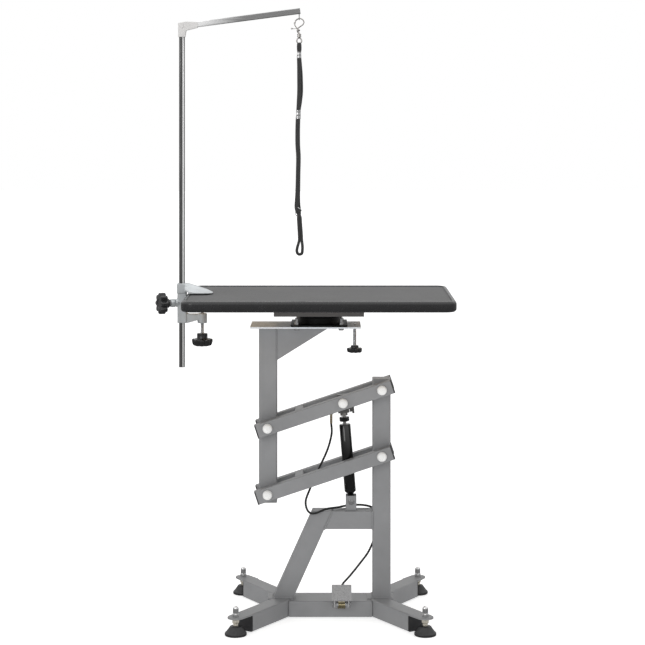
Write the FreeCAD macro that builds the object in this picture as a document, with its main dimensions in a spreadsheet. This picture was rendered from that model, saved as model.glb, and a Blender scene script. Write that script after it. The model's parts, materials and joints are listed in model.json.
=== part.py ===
import FreeCAD, Part
import math
import os
import re
import Sketcher
from FreeCAD import Placement, Rotation, Vector

# Grooming table: a swivelling rubber-topped table on a gas-lift parallelogram stand, with a
# clamp-on grooming arm and noose. Origin on the floor under the middle of the base, X along the
# table to the right, Y to the rear, Z up. All sizes in millimetres and degrees.
SIZES = {
    # shared: square tube, how far welded pieces bite into each other, hexagons of M8 fasteners
    "tube": 51, "tube_wall": 2.5, "tube_corner": 4, "weld_bite": 1, "play": 0.05,
    "bolt_flats": 13, "bolt_head": 5.5, "bolt_nut": 6.5,
    # base: a wide beam on the floor side, four splayed legs and their feet
    "base_floor_gap": 2, "base_height": 45, "beam_length": 232, "beam_depth": 100, "base_wall": 3,
    "leg_height": 48, "leg_width": 50, "leg_cross": 117.6, "leg_reach": 220.5, "leg_angle": 58.45,
    "leg_overrun": 40, "foot_reach": 266.4, "tab_thickness": 4, "tab_radius": 22.4,
    "tab_root": 60, "end_plug": 3, "stud_radius": 5, "stud_hole": 5.1, "stud_top": 68,
    "stud_bottom": 10, "pad_radius": 30, "pad_rim": 7, "pad_shoulder": 13,
    "pad_shoulder_height": 23.5, "pad_neck": 10, "pad_height": 25.5, "lock_nut_low": 28,
    "lock_nut_high": 35.5, "lock_nut_height": 6.5, "acorn_flats": 17, "acorn_hex": 9,
    "acorn_dome": 8, "acorn_height": 29, "acorn_bore": 22,
    "sole_x": 140, "sole_thickness": 3, "sole_length": 74, "sole_width": 62,
    # fixed post, slanted brace and the box rail between them
    "post_x": 144, "post_top": 667, "brace_left": -161, "brace_angle": 24.3,
    "rail_bottom": 244, "rail_top": 294,
    # parallelogram: pivots on the post, arm length and angle below level
    "upper_pivot": 640, "lower_pivot": 454, "arm_length": 338, "arm_drop": 18.5,
    "bar_height": 38, "bar_thickness": 30, "bar_wall": 2, "bar_gap": 4, "bar_overhang": 30,
    "bar_plug": 3.5, "cross_width": 26, "cross_place": 98,
    "bolt_radius": 6, "bush_bore": 6.05, "bush_radius": 9, "bush_flange": 14,
    "head_flats": 19, "head_height": 7.5, "cap_radius": 13.5, "cap_height": 13, "cap_wall": 2,
    # moving column with its top plate and gusset
    "column_bottom": 318, "column_top": 814, "plate_length": 310, "plate_width": 150,
    "plate_centre": -70, "plate_thickness": 5, "gusset_length": 151, "gusset_height": 94,
    "gusset_sheet": 3,
    # swivel bearing
    "swivel_x": -32, "swivel_plate": 158, "swivel_sheet": 5, "swivel_ring": 59, "ring_bore": 50,
    "ring_height": 18, "hub_radius": 49.95, "hub_gap": 2, "swivel_height": 35,
    "swivel_bolts": 62, "swivel_bolt": 4, "swivel_bolt_hole": 4.2, "swivel_bolt_rise": 17,
    # tabletop
    "top_length": 750, "top_width": 500, "top_height": 907, "trim_height": 30.5, "trim_wall": 5,
    "trim_lip": 12, "trim_sheet": 2.5, "top_corner": 34, "mat_thickness": 3, "trim_round": 8,
    "tray_length": 250, "tray_width": 270, "tray_sheet": 3,
    # swivel lock screw
    "lock_x": 68.5, "lock_radius": 5, "lock_bore": 5.05, "lock_tip": 820, "lock_knob": 22.3,
    "lock_knob_low": 739, "lock_knob_height": 13, "lock_hub": 11, "lock_hub_height": 7,
    # grooming arm clamp
    "sleeve_left": -432.4, "sleeve_right": -407.3, "sleeve_depth": 28, "clamp_low": 823.4,
    "clamp_high": 935, "jaw_tip": -336, "jaw_root_width": 80, "jaw_tip_width": 34,
    "jaw_root_rim": 5, "jaw_tip_rim": 3.5, "jaw_tip_crown": 7, "jaw_arm_top": 851,
    "jaw_arm_root": 5, "jaw_arm_rise": 11, "boss_x": -363, "boss_radius": 13.5,
    "clamp_screw": 4.8, "clamp_screw_bore": 4.85, "clamp_screw_end": 2, "clamp_pad": 11,
    "clamp_pad_height": 5, "clamp_knob": 29.5, "clamp_knob_low": 757.5,
    "clamp_knob_height": 20.5, "clamp_hub": 15, "clamp_hub_height": 15, "knob_grip": 12,
    "side_z": 880, "side_angle": 25, "side_screw": 4.5, "side_bore": 4.55, "side_boss": 12,
    "side_boss_end": 36, "side_screw_gap": 4, "side_knob": 30, "side_knob_near": 50,
    "side_knob_height": 20, "side_hub": 13, "side_hub_height": 10,
    # grooming arm
    "arm_post_x": -420.4, "arm_tube": 16, "arm_tube_wall": 1.5, "arm_tube_play": 0.2,
    "arm_post_low": 697.5, "arm_post_high": 1637.5, "fold_z": 1662, "fold_bar_length": 345,
    "fold_bar_back": 7.5, "fold_rise": 7.4, "rivet_radius": 3, "rivet_hole": 3.05,
    "rivet_head": 5, "rivet_head_height": 1.8, "clip_sheet": 1.5, "clip_back": 10.5,
    "clip_drop": 30, "clip_back_top": 9, "staple_half": 6.4, "staple_wire": 1.5,
    "staple_leg": 1.3,
    # snap hook and noose
    "hook_x": -88.6, "hook_wire": 1.4, "hook_loop": 12, "hook_loop_z": 1672.4,
    "lever_pivot_z": 1650.5, "lever_boss": 3.4, "lever_boss_half": 1.5, "lever_plate": 3,
    "lever_sheet": 1.2, "lever_gap": 0.2, "lever_wire": 1.3, "lever_y": -3.2, "stalk_wire": 1,
    "nub_radius": 2.6, "nub_reach": 19, "nub_rise": 5, "hook_neck": 1.3, "barrel_radius": 5,
    "barrel_low": 1632, "barrel_high": 1642, "barrel_floor": 2, "barrel_room": 3.1,
    "barrel_room_height": 4.2, "barrel_mouth": 1.7, "swivel_eye": 7, "swivel_eye_wire": 1.2,
    "swivel_eye_z": 1621, "swivel_stem": 1.6, "swivel_head": 3, "swivel_head_height": 3.8,
    "strap_width": 12, "strap_thickness": 4, "strap_neck": 4.4, "strap_neck_top": 5.2,
    "strap_neck_low": 5, "strap_shoulder": 8, "noose_slot": 4, "noose_slot_low": 8,
    "noose_slot_high": 42, "noose_low": 1012, "ferrule_wall": 1.5,
    # gas spring: lower pivot on the rail, upper pivot on the upper arm
    "gas_x": 58.2, "gas_z": 319.8, "gas_tilt": 4.69, "gas_length": 284.7, "gas_radius": 16,
    "gas_bore": 13.5, "gas_body_low": 24.3, "gas_body_high": 217, "gas_neck": 9,
    "gas_neck_low": 9, "gas_chamfer": 3, "gas_rim": 1.5, "gas_cover": 10, "gas_floor": 6,
    "gas_eye": 10, "gas_eye_play": 4, "rod_radius": 4.5, "rod_bore": 4.6, "rod_low": 60,
    "rod_high": 250, "piston_radius": 13.4, "piston_height": 12, "rod_nut_flats": 23,
    "rod_nut_low": 226, "rod_nut_height": 11, "rod_collar": 10.5, "rod_collar_height": 8,
    "gas_pin": 4, "gas_pin_hole": 4.05, "gas_arm_place": 115, "head_slot": 12.2,
    "head_half": 16, "head_depth": 24, "head_rise": 17, "valve_pin": 2, "valve_pin_hole": 2.05,
    "valve_pin_x": 21, "valve_pin_z": 265, "valve_ear": 3, "valve_ear_reach": 10,
    "valve_ear_height": 12, "valve_gap": 0.2, "valve_lever_x": 23.5, "valve_lever_low": 251,
    "valve_lever_length": 13, "valve_lever_width": 9, "valve_lever_height": 19,
    "valve_tip_x": 27, "valve_tip": 6,
    "bracket_width": 30, "bracket_sheet": 3, "bracket_gap": 30, "bracket_top": 336,
    # pedal
    "pedal_x": 31, "pedal_pin_y": -72, "pedal_pin_z": 42, "pedal_width": 55, "pedal_sheet": 3,
    "pedal_pin": 4, "pedal_pin_hole": 4.05, "ear_thickness": 4, "ear_inside": 13.5,
    "ear_rim": 9, "ear_reach": 8, "ear_flat": 4, "cheek_inside": 18, "cheek_half": 7,
    "cheek_low": 5, "cheek_high": 10, "pedal_pin_half": 26, "pedal_nut": 6.5,
    "pedal_nut_height": 4.5, "spring_radius": 8.3, "spring_wire": 1.6, "spring_turns": 6,
    "spring_width": 22, "cable_radius": 3, "adjuster_x": 2, "adjuster_y": -14,
    "adjuster_low": 540.5, "adjuster_radius": 3.6, "adjuster_length": 30,
    "adjuster_nut_low": 566, "adjuster_flats": 10, "adjuster_nut": 4,
}

doc = FreeCAD.newDocument("GroomingTable")
sheet = doc.addObject("Spreadsheet::Sheet", "Dimensions")
for row, (alias, number) in enumerate(SIZES.items(), start=1):
    sheet.set(f"A{row}", alias)
    sheet.set(f"B{row}", str(number))
    sheet.setAlias(f"B{row}", alias)
doc.recompute()

nodes = {}
X_AXIS, Y_AXIS, Z_AXIS = Vector(1, 0, 0), Vector(0, 1, 0), Vector(0, 0, 1)
ALONG_Y = Rotation(X_AXIS, 90)
ALONG_X = Rotation(Y_AXIS, 90)


# ---- helpers -------------------------------------------------------------------------------

def linked(formula):
    """The formula with each dimension's name pointed at its cell in the sheet."""
    return re.sub(r"[a-z_]{2,}", lambda m: "Dimensions." + m[0] if m[0] in SIZES else m[0],
                  str(formula))


def number(formula):
    """The formula's value now."""
    return float(sheet.evalExpression(linked(formula)))


def bind(thing, **formulas):
    for name, formula in formulas.items():
        thing.setExpression(name, linked(formula))
    return thing


def place(thing, x=0, y=0, z=0, turn=None):
    """Put a thing at x, y, z, with an optional fixed rotation."""
    if turn is not None:
        thing.Placement = Placement(Vector(), turn)
    for axis, formula in zip("xyz", (x, y, z)):
        thing.setExpression(f".Placement.Base.{axis}", linked(formula))
    return thing


def node(name, thing):
    """Name a thing as one of the sub-parts that are written out."""
    thing.Label = name
    nodes[name] = thing
    return thing


def new_body(name):
    return doc.addObject("PartDesign::Body", name)


def sketch_on(body, plane, lift=None):
    sketch = body.newObject("Sketcher::SketchObject", "Sketch")
    support = [f for f in body.Origin.OriginFeatures if f.Role == plane + "_Plane"][0]
    sketch.AttachmentSupport = [(support, "")]
    sketch.MapMode = "FlatFace"
    if lift is not None:
        sketch.setExpression(".AttachmentOffset.Base.z", linked(lift))
    return sketch


def fix(sketch, kind, *where, formula):
    index = sketch.addConstraint(Sketcher.Constraint(kind, *where, number(formula)))
    sketch.setExpression(f"Constraints[{index}]", linked(formula))


def outline(sketch, points):
    """A closed outline with straight sides through points given as pairs of formulas."""
    first = sketch.GeometryCount
    spots = [Vector(number(x), number(y), 0) for x, y in points]
    count = len(spots)
    for i in range(count):
        sketch.addGeometry(Part.LineSegment(spots[i], spots[(i + 1) % count]))
    for i in range(count):
        following = first + (i + 1) % count
        sketch.addConstraint(Sketcher.Constraint("Coincident", first + i, 2, following, 1))
    for i, (x, y) in enumerate(points):
        fix(sketch, "DistanceX", -1, 1, first + i, 1, formula=x)
        fix(sketch, "DistanceY", -1, 1, first + i, 1, formula=y)
    return sketch


def circle(sketch, x, y, radius):
    spot = Vector(number(x), number(y), 0)
    index = sketch.addGeometry(Part.Circle(spot, Z_AXIS, number(radius)))
    fix(sketch, "DistanceX", -1, 1, index, 3, formula=x)
    fix(sketch, "DistanceY", -1, 1, index, 3, formula=y)
    fix(sketch, "Radius", index, formula=radius)
    return sketch


def rounded_rectangle(sketch, width, depth, radius):
    """A rectangle centred on the sketch's origin with rounded corners."""
    first = sketch.GeometryCount
    w, d, r = number(width) / 2, number(depth) / 2, number(radius)
    corners = [(w - r, r - d, -90), (w - r, d - r, 0), (r - w, d - r, 90), (r - w, r - d, 180)]
    ends = []
    for x, y, start in corners:
        arc = Part.ArcOfCircle(Part.Circle(Vector(x, y, 0), Z_AXIS, r),
                               math.radians(start), math.radians(start + 90))
        ends.append((arc.StartPoint, arc.EndPoint))
        sketch.addGeometry(arc)
    for i in range(4):
        sketch.addGeometry(Part.LineSegment(ends[i - 1][1], ends[i][0]))
    for i in range(4):
        arc, line, following = first + i, first + 4 + i, first + 4 + (i + 1) % 4
        sketch.addConstraint(Sketcher.Constraint("Tangent", line, 2, arc, 1))
        sketch.addConstraint(Sketcher.Constraint("Tangent", arc, 2, following, 1))
        side = "Horizontal" if i % 2 == 0 else "Vertical"
        sketch.addConstraint(Sketcher.Constraint(side, line))
        if i:
            sketch.addConstraint(Sketcher.Constraint("Equal", first, arc))
    fix(sketch, "Radius", first, formula=radius)
    fix(sketch, "DistanceX", -1, 1, first + 5, 1, formula=f"({width}) / 2")
    fix(sketch, "DistanceX", -1, 1, first + 7, 1, formula=f"-({width}) / 2")
    fix(sketch, "DistanceY", -1, 1, first + 6, 1, formula=f"({depth}) / 2")
    fix(sketch, "DistanceY", -1, 1, first + 4, 1, formula=f"-({depth}) / 2")
    return sketch


def pad(body, sketch, length, symmetric=False):
    feature = body.newObject("PartDesign::Pad", "Pad")
    feature.Profile = sketch
    if symmetric:
        feature.SideType = "Symmetric"
    return bind(feature, Length=length)


def pocket(body, sketch, length=None, symmetric=False, reverse=False):
    feature = body.newObject("PartDesign::Pocket", "Pocket")
    feature.Profile = sketch
    feature.Reversed = reverse
    if symmetric:
        feature.SideType = "Symmetric"
    if length is None:
        feature.Type = "ThroughAll"
        return feature
    return bind(feature, Length=length)


def turned(name, profile):
    """A solid of revolution about Z through (radius, height) formulas."""
    body = new_body(name)
    sketch = outline(sketch_on(body, "XZ"), profile)
    feature = body.newObject("PartDesign::Revolution", "Revolution")
    feature.Profile = sketch
    feature.ReferenceAxis = (sketch, ["V_Axis"])
    feature.Angle = 360
    return body


def box(name, length, width, height, x=0, y=0, z=0):
    """A box centred on x and y, standing on z."""
    thing = bind(doc.addObject("Part::Box", name), Length=length, Width=width, Height=height)
    return place(thing, f"({x}) - ({length}) / 2", f"({y}) - ({width}) / 2", z)


def cylinder(name, radius, height, x=0, y=0, z=0, turn=None):
    thing = bind(doc.addObject("Part::Cylinder", name), Radius=radius, Height=height)
    return place(thing, x, y, z, turn)


def hexagon(name, flats, height, x=0, y=0, z=0, turn=None):
    thing = doc.addObject("Part::Prism", name)
    thing.Polygon = 6
    bind(thing, Circumradius=f"({flats}) / sqrt(3)", Height=height)
    return place(thing, x, y, z, turn)


def cut(name, base, tool):
    thing = doc.addObject("Part::Cut", name)
    thing.Base, thing.Tool = base, tool
    return thing


def fuse(name, *pieces):
    thing = doc.addObject("Part::MultiFuse", name)
    thing.Shapes = list(pieces)
    return thing


def group(name, pieces):
    """Separate solids kept together, such as a set of identical fasteners."""
    thing = doc.addObject("Part::Compound", name)
    thing.Links = list(pieces)
    return thing


def mirrored(thing, normal):
    copy = doc.addObject("Part::Mirroring", thing.Name + "_mirror")
    copy.Source, copy.Base, copy.Normal = thing, Vector(), normal
    return copy


def four_corners(thing):
    """A front left piece and its copies on the other three corners."""
    right = mirrored(thing, X_AXIS)
    return [thing, right, mirrored(thing, Y_AXIS), mirrored(right, Y_AXIS)]


def solid(name, shape):
    """A piece whose shape is worked out directly."""
    thing = doc.addObject("Part::Feature", name)
    thing.Shape = shape
    return thing


def square_tube(name, width, depth, wall, length, closed=None):
    """A tube along Z with rounded corners, open at its foot; closed is its top's thickness."""
    body = new_body(name)
    outer = rounded_rectangle(sketch_on(body, "XY"), width, depth, "tube_corner")
    pad(body, outer, length)
    inner = rounded_rectangle(sketch_on(body, "XY"), f"{width} - 2 * {wall}",
                              f"{depth} - 2 * {wall}", f"tube_corner - {wall} / 2")
    deep = length if closed is None else f"{length} - {closed}"
    pocket(body, inner, deep, reverse=True)
    return body


def cross_holes(body, radius, spots):
    """Round holes along Y through a body at (x, z) formulas."""
    sketch = sketch_on(body, "XZ")
    for x, z in spots:
        circle(sketch, x, z, radius)
    pocket(body, sketch, "4 * tube", symmetric=True)
    return body


def swept_wire(points, radius, closed=False):
    """A round wire along a smooth curve through points."""
    curve = Part.BSplineCurve()
    curve.interpolate([Vector(*p) for p in points], PeriodicFlag=closed)
    path = Part.Wire(curve.toShape())
    start, along = curve.value(curve.FirstParameter), curve.tangent(curve.FirstParameter)[0]
    rim = Part.Wire(Part.makeCircle(radius, start, along))
    return path.makePipeShell([rim], True, False)


def star_knob(name, radius, height, hub_radius, hub_height, bore, lobes=7):
    """A lobed knob: its lobed disc stands on z = 0 and its hub on top of the disc."""
    body = new_body(name)
    disc = circle(sketch_on(body, "XY"), 0, 0, radius)
    pad(body, disc, height)
    hub = circle(sketch_on(body, "XY", height), 0, 0, hub_radius)
    pad(body, hub, hub_height)
    scallop = circle(sketch_on(body, "XY"), f"{radius} * 1.14", 0, f"{radius} * 0.3")
    notch = pocket(body, scallop, height, reverse=True)
    pattern = body.newObject("PartDesign::PolarPattern", "Lobes")
    pattern.Originals = [notch]
    pattern.Axis = (scallop, ["N_Axis"])
    pattern.Angle = 360
    pattern.Occurrences = lobes
    body.Tip = pattern
    hole = circle(sketch_on(body, "XY"), 0, 0, bore)
    depth = f"{height} * 0.4"
    hole.setExpression(".AttachmentOffset.Base.z", linked(depth))
    pocket(body, hole, reverse=True)
    return body


# ---- base ----------------------------------------------------------------------------------

def sole_plate(side):
    """The plate that an upright stands on; side is -1 at the left and 1 at the right."""
    return box("Sole", "sole_length", "sole_width", "sole_thickness", f"{side} * sole_x", 0,
               "base_floor_gap + base_height")


def base_beam():
    """The wide beam with a sole plate under each upright and two ears for the pedal's pin."""
    tube = square_tube("BeamTube", "base_height", "beam_depth", "base_wall", "beam_length")
    place(tube, "-beam_length / 2", 0, "base_floor_gap + base_height / 2", ALONG_X)
    root, front = "-beam_depth / 2 + weld_bite", "pedal_pin_y - ear_reach"
    ears = []
    for side in (-1, 1):
        ear = new_body("Ear")
        shape = outline(sketch_on(ear, "YZ"), [
            (root, "pedal_pin_z - ear_rim - ear_flat"), ("pedal_pin_y", "pedal_pin_z - ear_rim"),
            (front, "pedal_pin_z - ear_flat"), (front, "pedal_pin_z + ear_flat"),
            ("pedal_pin_y", "pedal_pin_z + ear_rim"),
            (root, "pedal_pin_z + ear_flat - weld_bite")])
        pad(ear, shape, "ear_thickness", symmetric=True)
        hole = circle(sketch_on(ear, "YZ"), "pedal_pin_y", "pedal_pin_z", "pedal_pin")
        pocket(ear, hole, "4 * ear_thickness", symmetric=True)
        ears.append(place(ear, f"pedal_x + {side} * (ear_inside + ear_thickness / 2)"))
    return fuse("BaseBeam", tube, sole_plate(-1), sole_plate(1), *ears)


def front_left_leg():
    """A leg tube, cut where it meets the beam, the sole and the leg behind it, and its foot tab."""
    turn = Rotation(Z_AXIS, number("180 + leg_angle"))
    tube = square_tube("LegTube", "leg_height", "leg_width", "base_wall",
                       "leg_reach + leg_overrun")
    place(tube, "-leg_cross + leg_overrun * cos(leg_angle * 1 deg)",
          "leg_overrun * sin(leg_angle * 1 deg)", "base_floor_gap + leg_height / 2",
          turn.multiply(ALONG_X))
    beam = box("BeamSpace", "beam_length", "beam_depth", "4 * base_height")
    behind = box("RearHalf", "6 * tube", "4 * tube", "4 * base_height", "-leg_cross", "2 * tube")
    tube = cut("LegTrimmed", tube, fuse("LegNotch", beam, behind, sole_plate(-1)))
    tab = new_body("Tab")
    side = [("leg_reach - tab_root", "(leg_width / 2 - tube_corner)"),
            ("leg_reach", "(leg_width / 2 - tube_corner)"), ("leg_reach", "(leg_width / 2)"),
            ("foot_reach", "tab_radius")]
    other_side = [(x, f"-{y}") for x, y in reversed(side)]
    pad(tab, outline(sketch_on(tab, "XY"), side + other_side), "tab_thickness")
    end = circle(sketch_on(tab, "XY"), "foot_reach", 0, "tab_radius")
    pad(tab, end, "tab_thickness")
    hole = circle(sketch_on(tab, "XY"), "foot_reach", 0, "stud_hole")
    pocket(tab, hole, reverse=True)
    place(tab, "-leg_cross", 0, "base_floor_gap + leg_height - tab_thickness", turn)
    return fuse("LegWeldment", tube, tab)


def front_left_plug():
    turn = Rotation(Z_AXIS, number("180 + leg_angle"))
    plug = new_body("LegPlug")
    height = "(leg_height - tab_thickness)"
    face = rounded_rectangle(sketch_on(plug, "XY"), height, "leg_width", "tube_corner")
    pad(plug, face, "end_plug")
    inside = rounded_rectangle(sketch_on(plug, "XY", "-4 * end_plug"),
                               f"{height} - 2 * base_wall", "leg_width - 2 * base_wall",
                               "tube_corner - base_wall / 2")
    pad(plug, inside, "4 * end_plug")
    return place(plug, "-leg_cross - leg_reach * cos(leg_angle * 1 deg)",
                 "-leg_reach * sin(leg_angle * 1 deg)", f"base_floor_gap + {height} / 2",
                 turn.multiply(ALONG_X))


FOOT_X = "(leg_cross + foot_reach * cos(leg_angle * 1 deg))"
FOOT_Y = "(foot_reach * sin(leg_angle * 1 deg))"


def acorn_nut(x, y):
    top = "base_floor_gap + leg_height"
    nut = hexagon("AcornHex", "acorn_flats", "acorn_hex", x, y, top)
    barrel = cylinder("AcornBarrel", "acorn_dome", "acorn_height - acorn_dome", x, y, top)
    dome = bind(doc.addObject("Part::Sphere", "AcornDome"), Radius="acorn_dome")
    place(dome, x, y, f"{top} + acorn_height - acorn_dome")
    bore = cylinder("AcornBore", "stud_radius + play", "acorn_bore", x, y, top)
    return cut("AcornNut", fuse("AcornOutside", nut, barrel, dome), bore)


def foot_stud(x, y):
    """A levelling stud with the two nuts that are locked together on it."""
    shank = cylinder("Shank", "stud_radius", "stud_top - stud_bottom", x, y, "stud_bottom")
    nuts = [hexagon("LockNut", "acorn_flats", "lock_nut_height", x, y, z)
            for z in ("lock_nut_low", "lock_nut_high")]
    return fuse("FootStud", shank, *nuts)


def foot_pad(x, y):
    bore = "stud_radius + play"
    body = turned("FootPad", [
        (0, 0), ("pad_radius - 1", 0), ("pad_radius", 1.5), ("pad_radius", "pad_rim"),
        ("pad_shoulder", "pad_shoulder_height"), ("pad_neck", "pad_height"),
        (bore, "pad_height"), (bore, "stud_bottom"), (0, "stud_bottom")])
    return place(body, x, y)


def post_tube():
    base = "base_floor_gap + base_height + sole_thickness"
    body = square_tube("Post", "tube", "tube", "tube_wall", f"post_top - ({base})", "tube_wall")
    spots = [(0, f"{z} - ({base})") for z in ("upper_pivot", "lower_pivot")]
    cross_holes(body, "bolt_radius", spots)
    return place(body, "post_x", 0, base)


BRACE_FOOT = "(base_floor_gap + base_height + sole_thickness)"
BRACE_WIDE = "(tube / cos(brace_angle * 1 deg))"


def brace_at(z):
    """The left face of the brace at a height."""
    return f"(brace_left + ({z} - {BRACE_FOOT}) * tan(brace_angle * 1 deg))"


def brace_tube():
    """The slanted brace, cut level at both ends."""
    body = new_body("Brace")
    wall = "tube_wall / cos(brace_angle * 1 deg)"
    shape = outline(sketch_on(body, "XZ"), [
        (brace_at(BRACE_FOOT), BRACE_FOOT), (f"{brace_at(BRACE_FOOT)} + {BRACE_WIDE}", BRACE_FOOT),
        (f"{brace_at('rail_top')} + {BRACE_WIDE}", "rail_top"), (brace_at("rail_top"), "rail_top")])
    pad(body, shape, "tube", symmetric=True)
    lid = "(rail_top - tube_wall)"
    hollow = outline(sketch_on(body, "XZ"), [
        (f"{brace_at(BRACE_FOOT)} + {wall}", BRACE_FOOT),
        (f"{brace_at(BRACE_FOOT)} + {BRACE_WIDE} - {wall}", BRACE_FOOT),
        (f"{brace_at(lid)} + {BRACE_WIDE} - {wall}", lid), (f"{brace_at(lid)} + {wall}", lid)])
    pocket(body, hollow, "tube - 2 * tube_wall", symmetric=True)
    return body


def rail_box():
    """The level rail from the brace to the post, open where it is welded to the post."""
    body = new_body("Rail")
    left = f"({brace_at('rail_bottom')} + {BRACE_WIDE})"
    left_top = f"({brace_at('rail_top')} + {BRACE_WIDE})"
    right = "(post_x - tube / 2)"
    shape = outline(sketch_on(body, "XZ"), [
        (left, "rail_bottom"), (right, "rail_bottom"), (right, "rail_top"), (left_top, "rail_top")])
    pad(body, shape, "tube", symmetric=True)
    hollow = outline(sketch_on(body, "XZ"), [
        (f"{left_top} + tube_wall", "rail_bottom + tube_wall"),
        (right, "rail_bottom + tube_wall"), (right, "rail_top - tube_wall"),
        (f"{left_top} + tube_wall", "rail_top - tube_wall")])
    pocket(body, hollow, "tube - 2 * tube_wall", symmetric=True)
    return body


def gas_lower_bracket():
    """A U bracket with the pin that carries the gas spring's lower eye."""
    foot = box("BracketFoot", "bracket_width", "bracket_gap + 2 * bracket_sheet",
               "bracket_sheet", "gas_x", 0, "rail_top")
    ears = [box("BracketEar", "bracket_width", "bracket_sheet", "bracket_top - rail_top",
                "gas_x", f"{side} * (bracket_gap + bracket_sheet) / 2", "rail_top")
            for side in (-1, 1)]
    pin = cylinder("BracketPin", "gas_pin", "bracket_gap + 4 * bracket_sheet", "gas_x",
                   "bracket_gap / 2 + 2 * bracket_sheet", "gas_z", ALONG_Y)
    outside = "(bracket_gap / 2 + bracket_sheet)"
    ends = [hexagon("PinHead", "bolt_flats", "bolt_head", "gas_x", y, "gas_z", ALONG_Y)
            for y in (f"-{outside}", f"{outside} + bolt_head")]
    return fuse("GasLowerBracket", foot, *ears, pin, *ends)


# ---- parallelogram -------------------------------------------------------------------------

BAR_FACE = "(tube / 2 + bar_gap + bar_thickness)"


def pivot_bolt(x, z):
    """A through bolt along Y with a head in front and a nut behind."""
    half = f"({BAR_FACE} + head_height)"
    shank = cylinder("Shank", "bolt_radius", f"2 * {half}", x, half, z, ALONG_Y)
    ends = [hexagon("Head", "head_flats", "head_height", x, y, z, ALONG_Y)
            for y in (f"-{BAR_FACE}", half)]
    return fuse("PivotBolt", shank, *ends)


def bolt_cap(x, z, side):
    """A domed nylon cap over a bolt's end; side is -1 in front and 1 behind."""
    body = turned("BoltCap", [
        ("cap_radius - cap_wall", 0), ("cap_radius", 0), ("cap_radius", "cap_height * 0.3"),
        ("cap_radius * 0.86", "cap_height * 0.68"), ("cap_radius * 0.5", "cap_height * 0.94"),
        (0, "cap_height"), (0, "head_height + 1"),
        ("cap_radius - cap_wall", "head_height + 1")])
    return place(body, x, f"{side} * {BAR_FACE}", z, Rotation(X_AXIS, -90 * side))


def bolt_caps(spots):
    return [bolt_cap(x, z, side) for x, z in spots for side in (-1, 1)]


def arm_end(pivot):
    """The moving end of an arm, as x and z."""
    return ("(post_x - arm_length * cos(arm_drop * 1 deg))",
            f"({pivot} - arm_length * sin(arm_drop * 1 deg))")


def tilt_arm(thing, pivot):
    """Set a piece drawn level about the post's pivot to the arm's rest angle."""
    return place(thing, "post_x", 0, pivot, Rotation(Y_AXIS, -number("arm_drop")))


def arm_frame(pivot, extra_hole=None):
    """Two bars joined by a cross piece, drawn level with the post's pivot at the origin."""
    bars = []
    for side in (-1, 1):
        bar = new_body("Bar")
        long = "(arm_length + 2 * bar_overhang)"
        outer = rounded_rectangle(sketch_on(bar, "YZ"), "bar_thickness", "bar_height",
                                  "tube_corner * 0.75")
        pad(bar, outer, long)
        inner = rounded_rectangle(sketch_on(bar, "YZ"), "bar_thickness - 2 * bar_wall",
                                  "bar_height - 2 * bar_wall", "tube_corner * 0.4")
        pocket(bar, inner, long, reverse=True)
        spots = [("bar_overhang", 0), ("bar_overhang + arm_length", 0)]
        cross_holes(bar, "bush_radius", spots)
        if extra_hole:
            cross_holes(bar, "bolt_radius", [(f"bar_overhang + arm_length - {extra_hole}", 0)])
        place(bar, "-arm_length - bar_overhang",
              f"{side} * (tube / 2 + bar_gap + bar_thickness / 2)")
        bars.append(bar)
    cross = square_tube("CrossPiece", "bar_height", "cross_width", "bar_wall",
                        "tube + 2 * bar_gap")
    place(cross, "cross_place - arm_length", "tube / 2 + bar_gap", 0,
          ALONG_Y.multiply(Rotation(Z_AXIS, 90)))
    return tilt_arm(fuse("ArmFrame", *bars, cross), pivot)


def arm_plugs(pivot):
    plugs = []
    for side in (-1, 1):
        for end in (-1, 1):
            plug = new_body("BarPlug")
            face = rounded_rectangle(sketch_on(plug, "YZ"), "bar_thickness", "bar_height",
                                     "tube_corner * 0.75")
            pad(plug, face, "bar_plug")
            inside = rounded_rectangle(sketch_on(plug, "YZ", "-3 * bar_plug"),
                                       "bar_thickness - 2 * bar_wall",
                                       "bar_height - 2 * bar_wall", "tube_corner * 0.4")
            pad(plug, inside, "3 * bar_plug")
            y = f"{side} * (tube / 2 + bar_gap + bar_thickness / 2)"
            if end > 0:
                plugs.append(place(plug, "bar_overhang", y))
            else:
                plugs.append(place(plug, "-arm_length - bar_overhang", y, 0,
                                   Rotation(Z_AXIS, 180)))
    return tilt_arm(group("ArmPlugs", plugs), pivot)


def arm_bushes(pivot):
    """Flanged nylon bushes, one in each bar at each pivot."""
    bushes = []
    for x in ("0", "-arm_length"):
        for side in (-1, 1):
            body = turned("Bush", [
                ("bush_bore", 0), ("bush_flange", 0), ("bush_flange", "bar_gap"),
                ("bush_radius", "bar_gap"), ("bush_radius", "bar_gap + bar_thickness"),
                ("bush_bore", "bar_gap + bar_thickness")])
            bushes.append(place(body, x, f"{side} * tube / 2", 0, Rotation(X_AXIS, -90 * side)))
    return tilt_arm(group("ArmBushes", bushes), pivot)


# ---- column and swivel ---------------------------------------------------------------------

COLUMN_X = arm_end("upper_pivot")[0]
BOLT_SPOTS = [(f"{i} * swivel_bolts", f"{j} * swivel_bolts") for i in (-1, 1) for j in (-1, 1)]


def column_tube():
    body = square_tube("Column", "tube", "tube", "tube_wall", "column_top - column_bottom")
    spots = [(0, f"{arm_end(z)[1]} - column_bottom") for z in ("upper_pivot", "lower_pivot")]
    cross_holes(body, "bolt_radius", spots)
    return place(body, COLUMN_X, 0, "column_bottom")


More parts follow.
